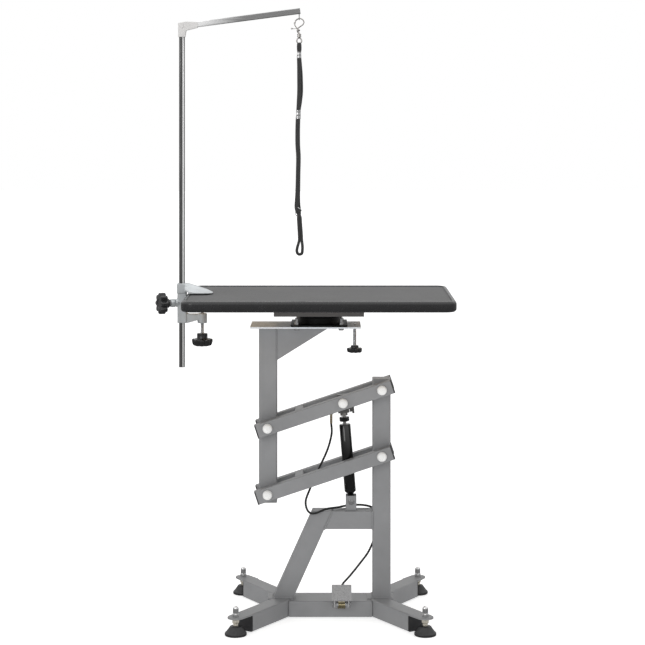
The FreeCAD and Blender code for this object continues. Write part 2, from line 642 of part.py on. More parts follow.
def column_plate():
    body = new_body("ColumnPlate")
    shape = rounded_rectangle(sketch_on(body, "XY"), "plate_length", "plate_width",
                              "tube_corner * 0.75")
    pad(body, shape, "plate_thickness")
    holes = sketch_on(body, "XY")
    for x, y in BOLT_SPOTS:
        circle(holes, f"swivel_x - plate_centre + {x}", y, "swivel_bolt_hole")
    circle(holes, "lock_x - plate_centre", 0, "lock_bore")
    pocket(body, holes, reverse=True)
    return place(body, "plate_centre", 0, "column_top")


def column_gusset():
    """A folded gusset: two cheeks joined by a sloping web."""
    body = new_body("Gusset")
    left = f"({COLUMN_X} + tube / 2)"
    shape = outline(sketch_on(body, "XZ"), [
        (left, "column_top - gusset_height"), (f"{left} + gusset_length", "column_top"),
        (left, "column_top")])
    pad(body, shape, "tube", symmetric=True)
    inset = "gusset_sheet * 2"
    hollow = outline(sketch_on(body, "XZ"), [
        (left, f"column_top - gusset_height + {inset}"),
        (f"{left} + gusset_length - 2 * {inset}", "column_top"), (left, "column_top")])
    pocket(body, hollow, "tube - 2 * gusset_sheet", symmetric=True)
    return body


def swivel_plate(name):
    body = new_body(name)
    shape = rounded_rectangle(sketch_on(body, "XY"), "swivel_plate", "swivel_plate",
                              "tube_corner")
    pad(body, shape, "swivel_sheet")
    return body


def swivel_base():
    """The bearing's fixed square plate with its outer ring."""
    body = swivel_plate("SwivelBase")
    holes = sketch_on(body, "XY")
    for x, y in BOLT_SPOTS:
        circle(holes, x, y, "swivel_bolt_hole")
    pocket(body, holes, reverse=True)
    ring = circle(sketch_on(body, "XY", "swivel_sheet"), 0, 0, "swivel_ring")
    circle(ring, 0, 0, "ring_bore")
    pad(body, ring, "ring_height")
    return place(body, "swivel_x", 0, "column_top + plate_thickness")


def swivel_bolts():
    bolts = []
    under, over = "column_top", "(column_top + plate_thickness + swivel_sheet)"
    for x, y in BOLT_SPOTS:
        spot = (f"swivel_x + {x}", y)
        shank = cylinder("Shank", "swivel_bolt", f"{over} - {under} + bolt_head + swivel_bolt_rise",
                         *spot, f"{under} - bolt_head")
        nut = hexagon("Nut", "bolt_flats", "bolt_nut", *spot, over)
        head = hexagon("Head", "bolt_flats", "bolt_head", *spot, f"{under} - bolt_head")
        bolts.append(fuse("SwivelBolt", shank, nut, head))
    return group("SwivelBolts", bolts)


def swivel_head():
    """The bearing's turning plate with the hub that runs inside the ring."""
    body = new_body("SwivelHead")
    hub_low = "swivel_sheet + hub_gap"
    flange_low = "swivel_sheet + ring_height + weld_bite"
    top_low = "swivel_height - swivel_sheet"
    hub = circle(sketch_on(body, "XY", hub_low), 0, 0, "hub_radius")
    pad(body, hub, f"{top_low} - ({hub_low})")
    flange = circle(sketch_on(body, "XY", flange_low), 0, 0, "swivel_ring")
    pad(body, flange, f"{top_low} - ({flange_low})")
    top = rounded_rectangle(sketch_on(body, "XY", top_low), "swivel_plate", "swivel_plate",
                            "tube_corner")
    pad(body, top, "swivel_sheet")
    return place(body, "swivel_x", 0, "column_top + plate_thickness")


def screw_pin(name, radius, low, high, x):
    return cylinder(name, radius, f"{high} - ({low})", x, 0, low)


# ---- tabletop ------------------------------------------------------------------------------

TOP_UNDER = "(top_height - trim_height)"
BOARD_LOW = "(top_height - trim_height + trim_sheet)"
BOARD_HIGH = "(top_height - trim_sheet - mat_thickness)"


def top_layer(name, low, high):
    body = new_body(name)
    shape = rounded_rectangle(sketch_on(body, "XY"), "top_length - 2 * trim_wall",
                              "top_width - 2 * trim_wall", "top_corner - trim_wall")
    pad(body, shape, f"{high} - {low}")
    return place(body, "swivel_x", 0, low)


def edge_trim():
    """A channel round the board's edge: a wall with a lip above and below."""
    body = new_body("EdgeTrim")
    heights = [(0, "trim_sheet", "trim_lip"), ("trim_sheet", "trim_height - trim_sheet",
               "trim_wall"), ("trim_height - trim_sheet", "trim_height", "trim_lip")]
    for low, high, inset in heights:
        ring = sketch_on(body, "XY", low)
        rounded_rectangle(ring, "top_length", "top_width", "top_corner")
        rounded_rectangle(ring, f"top_length - 2 * {inset}", f"top_width - 2 * {inset}",
                          f"top_corner - {inset}")
        pad(body, ring, f"({high}) - ({low})")
    doc.recompute()
    channel = body.Tip
    rims = []
    for index, edge in enumerate(channel.Shape.Edges, start=1):
        low, high = edge.BoundBox.ZMin, edge.BoundBox.ZMax
        level = abs(high - low) < 0.01
        at_face = min(abs(low), abs(high - number("trim_height"))) < 0.01
        if level and at_face and is_outer(edge):
            rims.append(f"Edge{index}")
    rounding = body.newObject("PartDesign::Fillet", "Bullnose")
    rounding.Base = (channel, rims)
    bind(rounding, Radius="trim_round")
    return place(body, "swivel_x", 0, TOP_UNDER)


def is_outer(edge):
    """Whether an edge lies on the tabletop's outer outline."""
    middle = edge.valueAt((edge.FirstParameter + edge.LastParameter) / 2)
    wide, deep = number("top_length / 2"), number("top_width / 2")
    corner = number("top_corner")
    over_x, over_y = abs(middle.x) - (wide - corner), abs(middle.y) - (deep - corner)
    if over_x > 0 and over_y > 0:
        return abs(math.hypot(over_x, over_y) - corner) < 0.01
    return abs(abs(middle.x) - wide) < 0.01 or abs(abs(middle.y) - deep) < 0.01


def mounting_tray():
    body = new_body("Tray")
    tall = f"{BOARD_LOW} - (column_top + plate_thickness + swivel_height)"
    shape = rounded_rectangle(sketch_on(body, "XY"), "tray_length", "tray_width",
                              "tube_corner * 1.5")
    pad(body, shape, tall)
    hollow = rounded_rectangle(sketch_on(body, "XY", "tray_sheet"),
                               "tray_length - 2 * tray_sheet", "tray_width - 2 * tray_sheet",
                               "tube_corner")
    pocket(body, hollow, reverse=True)
    return place(body, "swivel_x", 0, "column_top + plate_thickness + swivel_height")


# ---- grooming arm clamp --------------------------------------------------------------------

SIDE_TURN = Rotation(Z_AXIS, number("180 + side_angle")).multiply(ALONG_X)


def beside_post(reach):
    """A point on the side screw's axis, as x and y."""
    return (f"arm_post_x - ({reach}) * cos(side_angle * 1 deg)",
            f"-({reach}) * sin(side_angle * 1 deg)")


def arm_clamp():
    """The cast clamp: sleeve, tapered top jaw, lower arm with its threaded boss, side boss."""
    sleeve = box("Sleeve", "sleeve_right - sleeve_left", "sleeve_depth",
                 "clamp_high - clamp_low", "(sleeve_left + sleeve_right) / 2", 0, "clamp_low")
    web = new_body("LowerArm")
    shape = outline(sketch_on(web, "XZ"), [
        ("sleeve_right - weld_bite", "clamp_low"), ("sleeve_right + jaw_arm_root", "clamp_low"),
        ("boss_x - boss_radius", "clamp_low + jaw_arm_rise"),
        ("boss_x", "clamp_low + jaw_arm_rise"), ("boss_x", "jaw_arm_top"),
        ("sleeve_right + jaw_arm_root", "jaw_arm_top"),
        ("sleeve_right - weld_bite", "jaw_arm_top + jaw_arm_root")])
    pad(web, shape, "sleeve_depth * 0.8", symmetric=True)
    boss = cylinder("Boss", "boss_radius", "jaw_arm_top - clamp_low", "boss_x", 0, "clamp_low")
    jaw = new_body("Jaw")
    sections = []
    for x, wide, rim, crown in (
            ("sleeve_right", "jaw_root_width", "jaw_root_rim", "clamp_high - top_height"),
            ("jaw_tip", "jaw_tip_width", "jaw_tip_rim", "jaw_tip_crown")):
        section = sketch_on(jaw, "YZ", x)
        outline(section, [
            (f"-{wide} / 2", "top_height"), (f"{wide} / 2", "top_height"),
            (f"{wide} / 2", f"top_height + {rim}"), (f"{wide} / 6", f"top_height + {crown}"),
            (f"-{wide} / 6", f"top_height + {crown}"), (f"-{wide} / 2", f"top_height + {rim}")])
        sections.append(section)
    loft = jaw.newObject("PartDesign::AdditiveLoft", "JawLoft")
    loft.Profile = sections[0]
    loft.Sections = sections[1:]
    side_boss = cylinder("SideBoss", "side_boss", "side_boss_end", "arm_post_x", 0, "side_z",
                         SIDE_TURN)
    outside = fuse("ClampOutside", sleeve, web, boss, jaw, side_boss)
    gap = "arm_tube + arm_tube_play"
    channel = box("PostChannel", gap, gap, "2 * (clamp_high - clamp_low)", "arm_post_x", 0,
                  "clamp_low - tube")
    screw = cylinder("ScrewBore", "clamp_screw_bore", "4 * boss_radius", "boss_x", 0,
                     "clamp_low - boss_radius")
    side = cylinder("SideBore", "side_bore", "2 * side_boss_end", "arm_post_x", 0, "side_z",
                    SIDE_TURN)
    return cut("ArmClamp", outside, fuse("ClampBores", channel, screw, side))


def clamp_screw():
    top = BOARD_LOW
    shank = screw_pin("Shank", "clamp_screw", "clamp_knob_low + knob_grip",
                      f"{top} - clamp_screw_end", "boss_x")
    disc = cylinder("ScrewPad", "clamp_pad", "clamp_pad_height", "boss_x", 0,
                    f"{top} - clamp_pad_height")
    return fuse("ClampScrew", shank, disc)


def side_screw():
    start = "(arm_tube / 2 + side_screw_gap)"
    return cylinder("SideScrew", "side_screw", f"side_knob_near + knob_grip - {start}",
                    *beside_post(start), "side_z", SIDE_TURN)


def side_knob():
    knob = star_knob("SideKnob", "side_knob", "side_knob_height", "side_hub", "side_hub_height",
                     "side_bore")
    far = "side_knob_near + side_hub_height + side_knob_height - 10"
    turn = SIDE_TURN.multiply(Rotation(X_AXIS, 180))
    return place(knob, *beside_post(far), "side_z", turn)


# ---- grooming arm --------------------------------------------------------------------------

FOLD_TURN = Rotation(Y_AXIS, -number("fold_rise"))
BAR_TIP_Z = "(fold_z + (hook_x - arm_post_x) * tan(fold_rise * 1 deg))"


def arm_post():
    body = square_tube("ArmPost", "arm_tube", "arm_tube", "arm_tube_wall",
                       "arm_post_high - arm_post_low", "arm_tube_wall")
    return place(body, "arm_post_x", 0, "arm_post_low")


CLIP_PROFILE = [(9, -30), (12, -12), (44, -4), (46, 4), (44, 12), (10, 13)]


def arm_bracket():
    """A stamped clip on the post's top with the rivet that the bar folds on."""
    cheeks = []
    middle = "(arm_tube / 2 + arm_tube_play / 2 + clip_sheet / 2)"
    for side in (-1, 1):
        cheek = new_body("Cheek")
        shape = outline(sketch_on(cheek, "XZ"), [("-clip_back", "-clip_drop")] + CLIP_PROFILE
                        + [("-clip_back", "clip_back_top")])
        pad(cheek, shape, "clip_sheet", symmetric=True)
        cheeks.append(place(cheek, "arm_post_x", f"{side} * {middle}", "fold_z"))
    back = box("Back", "clip_sheet", f"2 * {middle}", "clip_drop + clip_back_top",
               "arm_post_x - clip_back + clip_sheet / 2", 0, "fold_z - clip_drop")
    outside = f"({middle} + clip_sheet / 2)"
    pins = [cylinder("Rivet", "rivet_radius", f"2 * ({outside} + weld_bite)", "arm_post_x",
                     f"{outside} + weld_bite", "fold_z", ALONG_Y)]
    pins += [cylinder("RivetHead", "rivet_head", "rivet_head_height", "arm_post_x", y, "fold_z",
                      ALONG_Y)
             for y in (f"-{outside}", f"{outside} + rivet_head_height")]
    return fuse("ArmBracket", *cheeks, back, *pins)


STAPLE_Z = "(hook_loop_z + hook_loop - hook_wire - staple_wire - play)"


def arm_bar():
    """The folding bar with a rivet hole and, under its tip, the staple that carries the hook."""
    bar = new_body("FoldBar")
    outer = rounded_rectangle(sketch_on(bar, "YZ"), "arm_tube", "arm_tube", "tube_corner * 0.5")
    pad(bar, outer, "fold_bar_length")
    inner = rounded_rectangle(sketch_on(bar, "YZ"), "arm_tube - 2 * arm_tube_wall",
                              "arm_tube - 2 * arm_tube_wall", "tube_corner * 0.25")
    pocket(bar, inner, "fold_bar_length - arm_tube_wall", reverse=True)
    cross_holes(bar, "rivet_hole", [("fold_bar_back", 0)])
    place(bar, "arm_post_x - fold_bar_back * cos(fold_rise * 1 deg)", 0,
          "fold_z - fold_bar_back * sin(fold_rise * 1 deg)", FOLD_TURN)
    rise = f"{BAR_TIP_Z} - arm_tube / 2 + weld_bite - {STAPLE_Z}"
    legs = [cylinder("StapleLeg", "staple_leg", rise, "hook_x", f"{side} * staple_half",
                     STAPLE_Z)
            for side in (-1, 1)]
    half = "(staple_half + staple_wire + weld_bite)"
    pin = cylinder("StaplePin", "staple_wire", f"2 * {half}", "hook_x", half, STAPLE_Z, ALONG_Y)
    return fuse("ArmBar", bar, *legs, pin)


# ---- snap hook and noose -------------------------------------------------------------------

def hook_body():
    """The hook's bow, the lever's pivot and the barrel that the swivel eye turns in."""
    x, z, bow = number("hook_x"), number("hook_loop_z"), number("hook_loop")
    low = number("lever_pivot_z")
    path = [(x - bow / 2, 0, z + bow * 0.8)]
    path += [(x + bow * math.sin(math.radians(a)), 0, z + bow * math.cos(math.radians(a)))
             for a in (0, 45, 90, 125)]
    path += [(x + bow / 4, 0, low + bow / 2), (x, 0, low)]
    bow = solid("Bow", swept_wire(path, number("hook_wire")))
    boss = cylinder("LeverBoss", "lever_boss", "2 * lever_boss_half", "hook_x",
                    "lever_boss_half", "lever_pivot_z", ALONG_Y)
    neck = cylinder("Neck", "hook_neck", "lever_pivot_z - barrel_high + weld_bite", "hook_x", 0,
                    "barrel_high - weld_bite")
    barrel = cylinder("Barrel", "barrel_radius", "barrel_high - barrel_low", "hook_x", 0,
                      "barrel_low")
    room = cylinder("BarrelRoom", "barrel_room", "barrel_room_height", "hook_x", 0,
                    "barrel_low + barrel_floor")
    mouth = cylinder("BarrelMouth", "barrel_mouth", "2 * barrel_floor", "hook_x", 0,
                     "barrel_low - barrel_floor / 2")
    return cut("HookBody", fuse("HookOutside", bow, boss, neck, barrel),
               fuse("HookBores", room, mouth))


GATE_PATH = [(-1, 0), (-6, 7), (-11.2, 17), (-11, 25.4)]
STALK_PATH = [(-4, 4.5), (-12, 4.2), (-18, 5)]


def beside_lever(path):
    """Points given from the lever's pivot, in the plane that the lever moves in."""
    x, y, z = number("hook_x"), number("lever_y"), number("lever_pivot_z")
    return [(x + across, y, z + up) for across, up in path]


def hook_lever():
    """The spring lever that closes the hook, with its thumb nub."""
    gate = solid("Gate", swept_wire(beside_lever(GATE_PATH), number("lever_wire")))
    plate = cylinder("LeverPlate", "lever_plate", "lever_sheet", "hook_x",
                     "-lever_boss_half - lever_gap", "lever_pivot_z", ALONG_Y)
    stalk = solid("Stalk", swept_wire(beside_lever(STALK_PATH), number("stalk_wire")))
    nub = bind(doc.addObject("Part::Sphere", "Nub"), Radius="nub_radius")
    place(nub, "hook_x - nub_reach", "lever_y", "lever_pivot_z + nub_rise")
    return fuse("HookLever", gate, plate, stalk, nub)


def swivel_eye():
    """The eye below the hook, with a stem and head that turn inside the barrel."""
    ring = bind(doc.addObject("Part::Torus", "EyeRing"), Radius1="swivel_eye",
                Radius2="swivel_eye_wire")
    place(ring, "hook_x", 0, "swivel_eye_z", ALONG_Y)
    foot = "(swivel_eye_z + swivel_eye - swivel_eye_wire / 2)"
    head_low = "(barrel_low + barrel_floor + lever_gap)"
    stem = cylinder("EyeStem", "swivel_stem", f"{head_low} + weld_bite - {foot}", "hook_x", 0,
                    foot)
    head = cylinder("EyeHead", "swivel_head", "swivel_head_height", "hook_x", 0, head_low)
    return fuse("SwivelEye", ring, stem, head)


STRAP_TOP = "(swivel_eye_z - swivel_eye)"


def noose_strap():
    """The webbing: a small loop on the eye, a long double strap and the neck loop below."""
    body = new_body("Strap")
    low = f"(noose_low - {STRAP_TOP})"
    side = [("strap_width / 2", low), ("strap_width / 2", "-strap_shoulder"),
            ("strap_neck", "-strap_neck_low"), ("strap_neck", "strap_neck_top")]
    other_side = [(f"-{x}", z) for x, z in reversed(side)]
    shape = outline(sketch_on(body, "XZ"), side + other_side)
    pad(body, shape, "strap_thickness", symmetric=True)
    half = "noose_slot / 2"
    slot = outline(sketch_on(body, "XZ"), [
        (f"-{half}", f"{low} + noose_slot_low"), (half, f"{low} + noose_slot_low"),
        (half, f"{low} + noose_slot_high"), (f"-{half}", f"{low} + noose_slot_high")])
    pocket(body, slot, "4 * strap_thickness", symmetric=True)
    place(body, "hook_x", 0, STRAP_TOP)
    room = bind(doc.addObject("Part::Torus", "EyeRoom"), Radius1="swivel_eye",
                Radius2="swivel_eye_wire + 2 * lever_gap")
    place(room, "hook_x", 0, "swivel_eye_z", ALONG_Y)
    return cut("NooseStrap", body, room)


FERRULES = [(1572, 1592), (1400, 1425), (1125, 1140)]


def noose_ferrules():
    """Crimped sleeves round the strap, each from a low to a high level."""
    sleeves = []
    for low, high in FERRULES:
        outer = box("Sleeve", "strap_width + 2 * ferrule_wall",
                    "strap_thickness + 2 * ferrule_wall", high - low, "hook_x", 0, low)
        inner = box("SleeveRoom", "strap_width", "strap_thickness", high - low + 2, "hook_x", 0,
                    low - 1)
        sleeves.append(cut("Ferrule", outer, inner))
    return group("Ferrules", sleeves)


# ---- gas spring ----------------------------------------------------------------------------

GAS_TURN = Rotation(Y_AXIS, -number("gas_tilt"))


def on_gas_axis(thing):
    """Set a piece drawn upright about the lower eye onto the gas spring's axis."""
    return place(thing, "gas_x", 0, "gas_z", GAS_TURN)


def gas_cylinder():
    cover, floor = "gas_body_high - gas_cover", "gas_body_low + gas_floor"
    body = turned("GasBody", [
        (0, "gas_neck_low"), ("gas_neck", "gas_neck_low"),
        ("gas_neck", "gas_body_low - gas_chamfer"), ("gas_radius - gas_chamfer", "gas_body_low"),
        ("gas_radius", "gas_body_low + gas_chamfer"), ("gas_radius", "gas_body_high - gas_rim"),
        ("gas_radius - gas_rim", "gas_body_high"), ("rod_bore", "gas_body_high"),
        ("rod_bore", cover), ("gas_bore", cover), ("gas_bore", floor), (0, floor)])
    wide = "(bracket_gap - gas_eye_play)"
    eye = cylinder("LowerEye", "gas_eye", wide, 0, f"{wide} / 2", 0, ALONG_Y)
    hole = cylinder("EyeHole", "gas_pin_hole", "2 * bracket_gap", 0, "bracket_gap", 0, ALONG_Y)
    return on_gas_axis(cut("GasCylinder", fuse("GasOutside", body, eye), hole))


def gas_rod():
    """Piston, rod, lock nut and the collar under the release head."""
    rod = cylinder("Rod", "rod_radius", "rod_high - rod_low", 0, 0, "rod_low")
    piston = cylinder("Piston", "piston_radius", "piston_height", 0, 0, "rod_low")
    nut = hexagon("RodNut", "rod_nut_flats", "rod_nut_height", 0, 0, "rod_nut_low")
    collar = cylinder("RodCollar", "rod_collar", "rod_collar_height", 0, 0,
                      "rod_high - rod_collar_height")
    return on_gas_axis(fuse("GasRod", rod, piston, nut, collar))


def release_head():
    """The block that the rod screws into, hung on the arm's gas bolt, with the lever's pin."""
    block = box("HeadBlock", "2 * head_half", "head_depth", "gas_length + head_rise - rod_high",
                0, 0, "rod_high")
    slot = cylinder("HeadSlot", "head_slot", "2 * head_depth", 0, "head_depth", "gas_length",
                    ALONG_Y)
    inside = "(valve_lever_width / 2 + valve_gap)"
    ears = [box("ValveEar", "valve_ear_reach", "valve_ear", "valve_ear_height",
                "head_half - weld_bite + valve_ear_reach / 2",
                f"{side} * ({inside} + valve_ear / 2)", "valve_pin_z - valve_ear_height / 2")
            for side in (-1, 1)]
    half = f"({inside} + valve_ear)"
    pin = cylinder("ValvePin", "valve_pin", f"2 * {half}", "valve_pin_x", half, "valve_pin_z",
                   ALONG_Y)
    return on_gas_axis(fuse("ReleaseHead", cut("HeadSlotted", block, slot), *ears, pin))


def release_lever():
    """The lever on the side of the head that pushes the valve pin."""
    arm = box("LeverArm", "valve_lever_length", "valve_lever_width", "valve_lever_height",
              "valve_lever_x", 0, "valve_lever_low")
    tip = box("LeverTip", "valve_tip", "valve_tip", "valve_tip", "valve_tip_x", 0,
              "valve_lever_low - valve_tip + weld_bite")
    hole = cylinder("LeverHole", "valve_pin_hole", "2 * valve_lever_width", "valve_pin_x",
                    "valve_lever_width", "valve_pin_z", ALONG_Y)
    return on_gas_axis(cut("ReleaseLever", fuse("LeverOutside", arm, tip), hole))


# ---- pedal and cable -----------------------------------------------------------------------

PLATE_PROFILE = [(-95, 62), (-93, 60), (-58, 94), (-60, 96)]
CHEEK_TOP = [(-61, 91.2), (-86, 67)]


def pedal_plate():
    """The foot plate with two cheeks that reach down to its pin."""
    plate = new_body("FootPlate")
    pad(plate, outline(sketch_on(plate, "YZ"), PLATE_PROFILE), "pedal_width", symmetric=True)
    place(plate, "pedal_x")
    cheeks = []
    near, far = "pedal_pin_y - cheek_half", "pedal_pin_y + cheek_half"
    low, high = "pedal_pin_z - cheek_low", "pedal_pin_z + cheek_high"
    for side in (-1, 1):
        cheek = new_body("PedalCheek")
        shape = outline(sketch_on(cheek, "YZ"),
                        [(near, low), (far, low), (far, high)] + CHEEK_TOP + [(near, high)])
        pad(cheek, shape, "pedal_sheet", symmetric=True)
        hole = circle(sketch_on(cheek, "YZ"), "pedal_pin_y", "pedal_pin_z", "pedal_pin_hole")
        pocket(cheek, hole, "4 * pedal_sheet", symmetric=True)
        cheeks.append(place(cheek, f"pedal_x + {side} * (cheek_inside + pedal_sheet / 2)"))
    return fuse("PedalPlate", plate, *cheeks)


def pedal_pin():
    spot = ("pedal_pin_y", "pedal_pin_z")
    pin = cylinder("Pin", "pedal_pin", "2 * pedal_pin_half", "pedal_x - pedal_pin_half", *spot,
                   ALONG_X)
    nuts = [hexagon("PinNut", "2 * pedal_nut", "pedal_nut_height", x, *spot, ALONG_X)
            for x in ("pedal_x - pedal_pin_half", "pedal_x + pedal_pin_half - pedal_nut_height")]
    return fuse("PedalPin", pin, *nuts)


def pedal_spring():
    """A torsion spring coiled round the pin between the ears."""
    coil, wire = number("spring_radius"), number("spring_wire")
    long = number("spring_width - 2 * spring_wire")
    helix = Part.makeHelix(long / number("spring_turns"), long, coil)
    rim = Part.Wire(Part.makeCircle(wire, Vector(coil, 0, 0), Y_AXIS))
    spring = solid("PedalSpring", Part.Wire(helix.Edges).makePipeShell([rim], True, True))
    return place(spring, "pedal_x - spring_width / 2 + spring_wire", "pedal_pin_y",
                 "pedal_pin_z", ALONG_X)


CABLE_PATH = [
    (2, -14, 540), (3, -14, 510), (-9, -14, 465), (-34, -14, 410), (-58, -19, 356),
    (-70, -27, 322), (-63, -31, 296), (-45, -32, 290), (-12, -26, 300), (20, 2, 300),
    (43, 24, 300), (75, 26, 302), (99, 29, 300), (119, 31, 293), (140, 33, 272),
    (142, 33, 238), (122, 30, 201), (98, 16, 160), (70, -12, 121), (42, -46, 92)]


def release_cable():
    """The sheathed cable from its adjuster under the upper arm to the back of the pedal."""
    return solid("ReleaseCable", swept_wire(CABLE_PATH, number("cable_radius")))


def cable_adjuster():
    """The brass adjuster that holds the sheath's end on the upper arm."""
    sleeve = cylinder("AdjusterSleeve", "adjuster_radius", "adjuster_length", "adjuster_x",
                      "adjuster_y", "adjuster_low")
    nut = hexagon("AdjusterNut", "adjuster_flats", "adjuster_nut", "adjuster_x", "adjuster_y",
                  "adjuster_nut_low")
    return fuse("CableAdjuster", sleeve, nut)


# ---- assembly ------------------------------------------------------------------------------

POST_BOLTS = [("post_x", "upper_pivot"), ("post_x", "lower_pivot")]
COLUMN_BOLTS = [arm_end("upper_pivot"), arm_end("lower_pivot")]
GAS_BOLT = ("(post_x - gas_arm_place * cos(arm_drop * 1 deg))",
            "(upper_pivot - gas_arm_place * sin(arm_drop * 1 deg))")
CORNERS = {"front_left": (-1, -1), "front_right": (1, -1), "rear_left": (-1, 1),
           "rear_right": (1, 1)}

node("base_beam", base_beam())
node("base_legs", group("BaseLegs", four_corners(front_left_leg())))
node("leg_end_plugs", group("LegPlugs", four_corners(front_left_plug())))
node("foot_acorn_nuts", group("AcornNuts", [acorn_nut(f"{i} * {FOOT_X}", f"{j} * {FOOT_Y}")
                                            for i, j in CORNERS.values()]))
for corner, (i, j) in CORNERS.items():
    node("foot_stud_" + corner, foot_stud(f"{i} * {FOOT_X}", f"{j} * {FOOT_Y}"))
    node("foot_pad_" + corner, foot_pad(f"{i} * {FOOT_X}", f"{j} * {FOOT_Y}"))
node("post_tube", post_tube())
node("brace_frame", fuse("BraceFrame", brace_tube(), rail_box()))
node("gas_lower_bracket", gas_lower_bracket())
node("post_pivot_bolts", group("PostBolts", [pivot_bolt(*spot) for spot in POST_BOLTS]))
node("post_bolt_caps", group("PostCaps", bolt_caps(POST_BOLTS)))

node("upper_arm_frame", arm_frame("upper_pivot", "gas_arm_place"))
node("upper_arm_plugs", arm_plugs("upper_pivot"))
node("upper_arm_bushes", arm_bushes("upper_pivot"))
node("gas_pivot_bolt", pivot_bolt(*GAS_BOLT))
node("gas_bolt_caps", group("GasCaps", bolt_caps([GAS_BOLT])))
node("lower_arm_frame", arm_frame("lower_pivot"))
node("lower_arm_plugs", arm_plugs("lower_pivot"))
node("lower_arm_bushes", arm_bushes("lower_pivot"))

node("column_tube", fuse("ColumnWeldment", column_tube(), column_gusset()))
node("column_plate", column_plate())
node("column_pivot_bolts", group("ColumnBolts", [pivot_bolt(*spot) for spot in COLUMN_BOLTS]))
node("column_bolt_caps", group("ColumnCaps", bolt_caps(COLUMN_BOLTS)))
node("swivel_base", swivel_base())
node("swivel_bolts", swivel_bolts())
node("lock_screw", screw_pin("LockScrew", "lock_radius", "lock_knob_low + lock_hub_height", "lock_tip",
                             "lock_x"))
node("lock_knob", place(star_knob("LockKnob", "lock_knob", "lock_knob_height", "lock_hub",
                                  "lock_hub_height", "lock_bore"), "lock_x", 0, "lock_knob_low"))

node("swivel_head", swivel_head())
node("mounting_tray", mounting_tray())
node("table_board", top_layer("Board", BOARD_LOW, BOARD_HIGH))
node("table_mat", top_layer("Mat", BOARD_HIGH, f"({BOARD_HIGH} + mat_thickness)"))
node("edge_trim", edge_trim())
node("arm_clamp", arm_clamp())
node("clamp_screw", clamp_screw())
node("clamp_knob", place(star_knob("ClampKnob", "clamp_knob", "clamp_knob_height", "clamp_hub",
                                   "clamp_hub_height", "clamp_screw_bore"), "boss_x", 0,
                         "clamp_knob_low"))
node("side_screw", side_screw())
node("side_knob", side_knob())

node("arm_post", arm_post())
node("arm_bracket", arm_bracket())
node("arm_bar", arm_bar())
node("hook_body", hook_body())
node("hook_lever", hook_lever())
node("noose_swivel", swivel_eye())
node("noose_strap", noose_strap())
node("noose_ferrules", noose_ferrules())

node("gas_cylinder", gas_cylinder())
node("gas_rod", gas_rod())
node("release_head", release_head())
node("release_lever", release_lever())
node("pedal_plate", pedal_plate())
node("pedal_pin", pedal_pin())
node("pedal_spring", pedal_spring())
node("release_cable", release_cable())
node("cable_adjuster", cable_adjuster())

doc.recompute()
for thing in doc.Objects:
    if "Invalid" in thing.State or "Error" in thing.State:
        raise SystemExit(f"{thing.Name} ({thing.Label}) failed: {thing.State}")
for name, thing in nodes.items():
    if thing.Shape.isNull() or not thing.Shape.isValid() or not thing.Shape.Solids:
        raise SystemExit(f"{name} has no valid solid")

os.makedirs("parts", exist_ok=True)
for name, thing in nodes.items():
    thing.Shape.exportStep(os.path.join("parts", name + ".step"))
print(len(nodes), "sub-parts written")
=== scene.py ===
import json
import math

import bmesh
import bpy
from mathutils import Matrix, Vector


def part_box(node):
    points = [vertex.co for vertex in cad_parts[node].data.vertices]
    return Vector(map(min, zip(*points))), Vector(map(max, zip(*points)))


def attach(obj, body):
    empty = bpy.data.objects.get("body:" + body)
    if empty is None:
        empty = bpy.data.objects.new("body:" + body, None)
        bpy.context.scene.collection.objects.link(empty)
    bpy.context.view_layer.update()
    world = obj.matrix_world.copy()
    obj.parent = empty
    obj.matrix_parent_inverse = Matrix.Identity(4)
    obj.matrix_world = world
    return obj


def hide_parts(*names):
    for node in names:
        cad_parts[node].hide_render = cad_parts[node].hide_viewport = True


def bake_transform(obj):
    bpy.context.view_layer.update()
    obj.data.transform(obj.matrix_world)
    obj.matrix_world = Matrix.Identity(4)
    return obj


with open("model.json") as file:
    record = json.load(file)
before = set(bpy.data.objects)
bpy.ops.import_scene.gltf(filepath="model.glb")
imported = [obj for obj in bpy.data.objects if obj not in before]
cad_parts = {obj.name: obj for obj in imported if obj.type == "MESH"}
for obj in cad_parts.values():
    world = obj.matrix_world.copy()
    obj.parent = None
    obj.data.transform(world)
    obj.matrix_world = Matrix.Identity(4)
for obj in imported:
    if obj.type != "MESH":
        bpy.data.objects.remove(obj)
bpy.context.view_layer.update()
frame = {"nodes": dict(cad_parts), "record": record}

# A grooming table on a gas-lift parallelogram stand. All lengths below are millimetres in the
# part's own frame, and are turned into metres where meshes are made.
MM = 0.001
nodes = frame["nodes"]
X, Y, Z = range(3)

# ---- materials -----------------------------------------------------------------------------

ALONG_Z, ALONG_X = (1, 1, 0.02), (0.02, 1, 1)


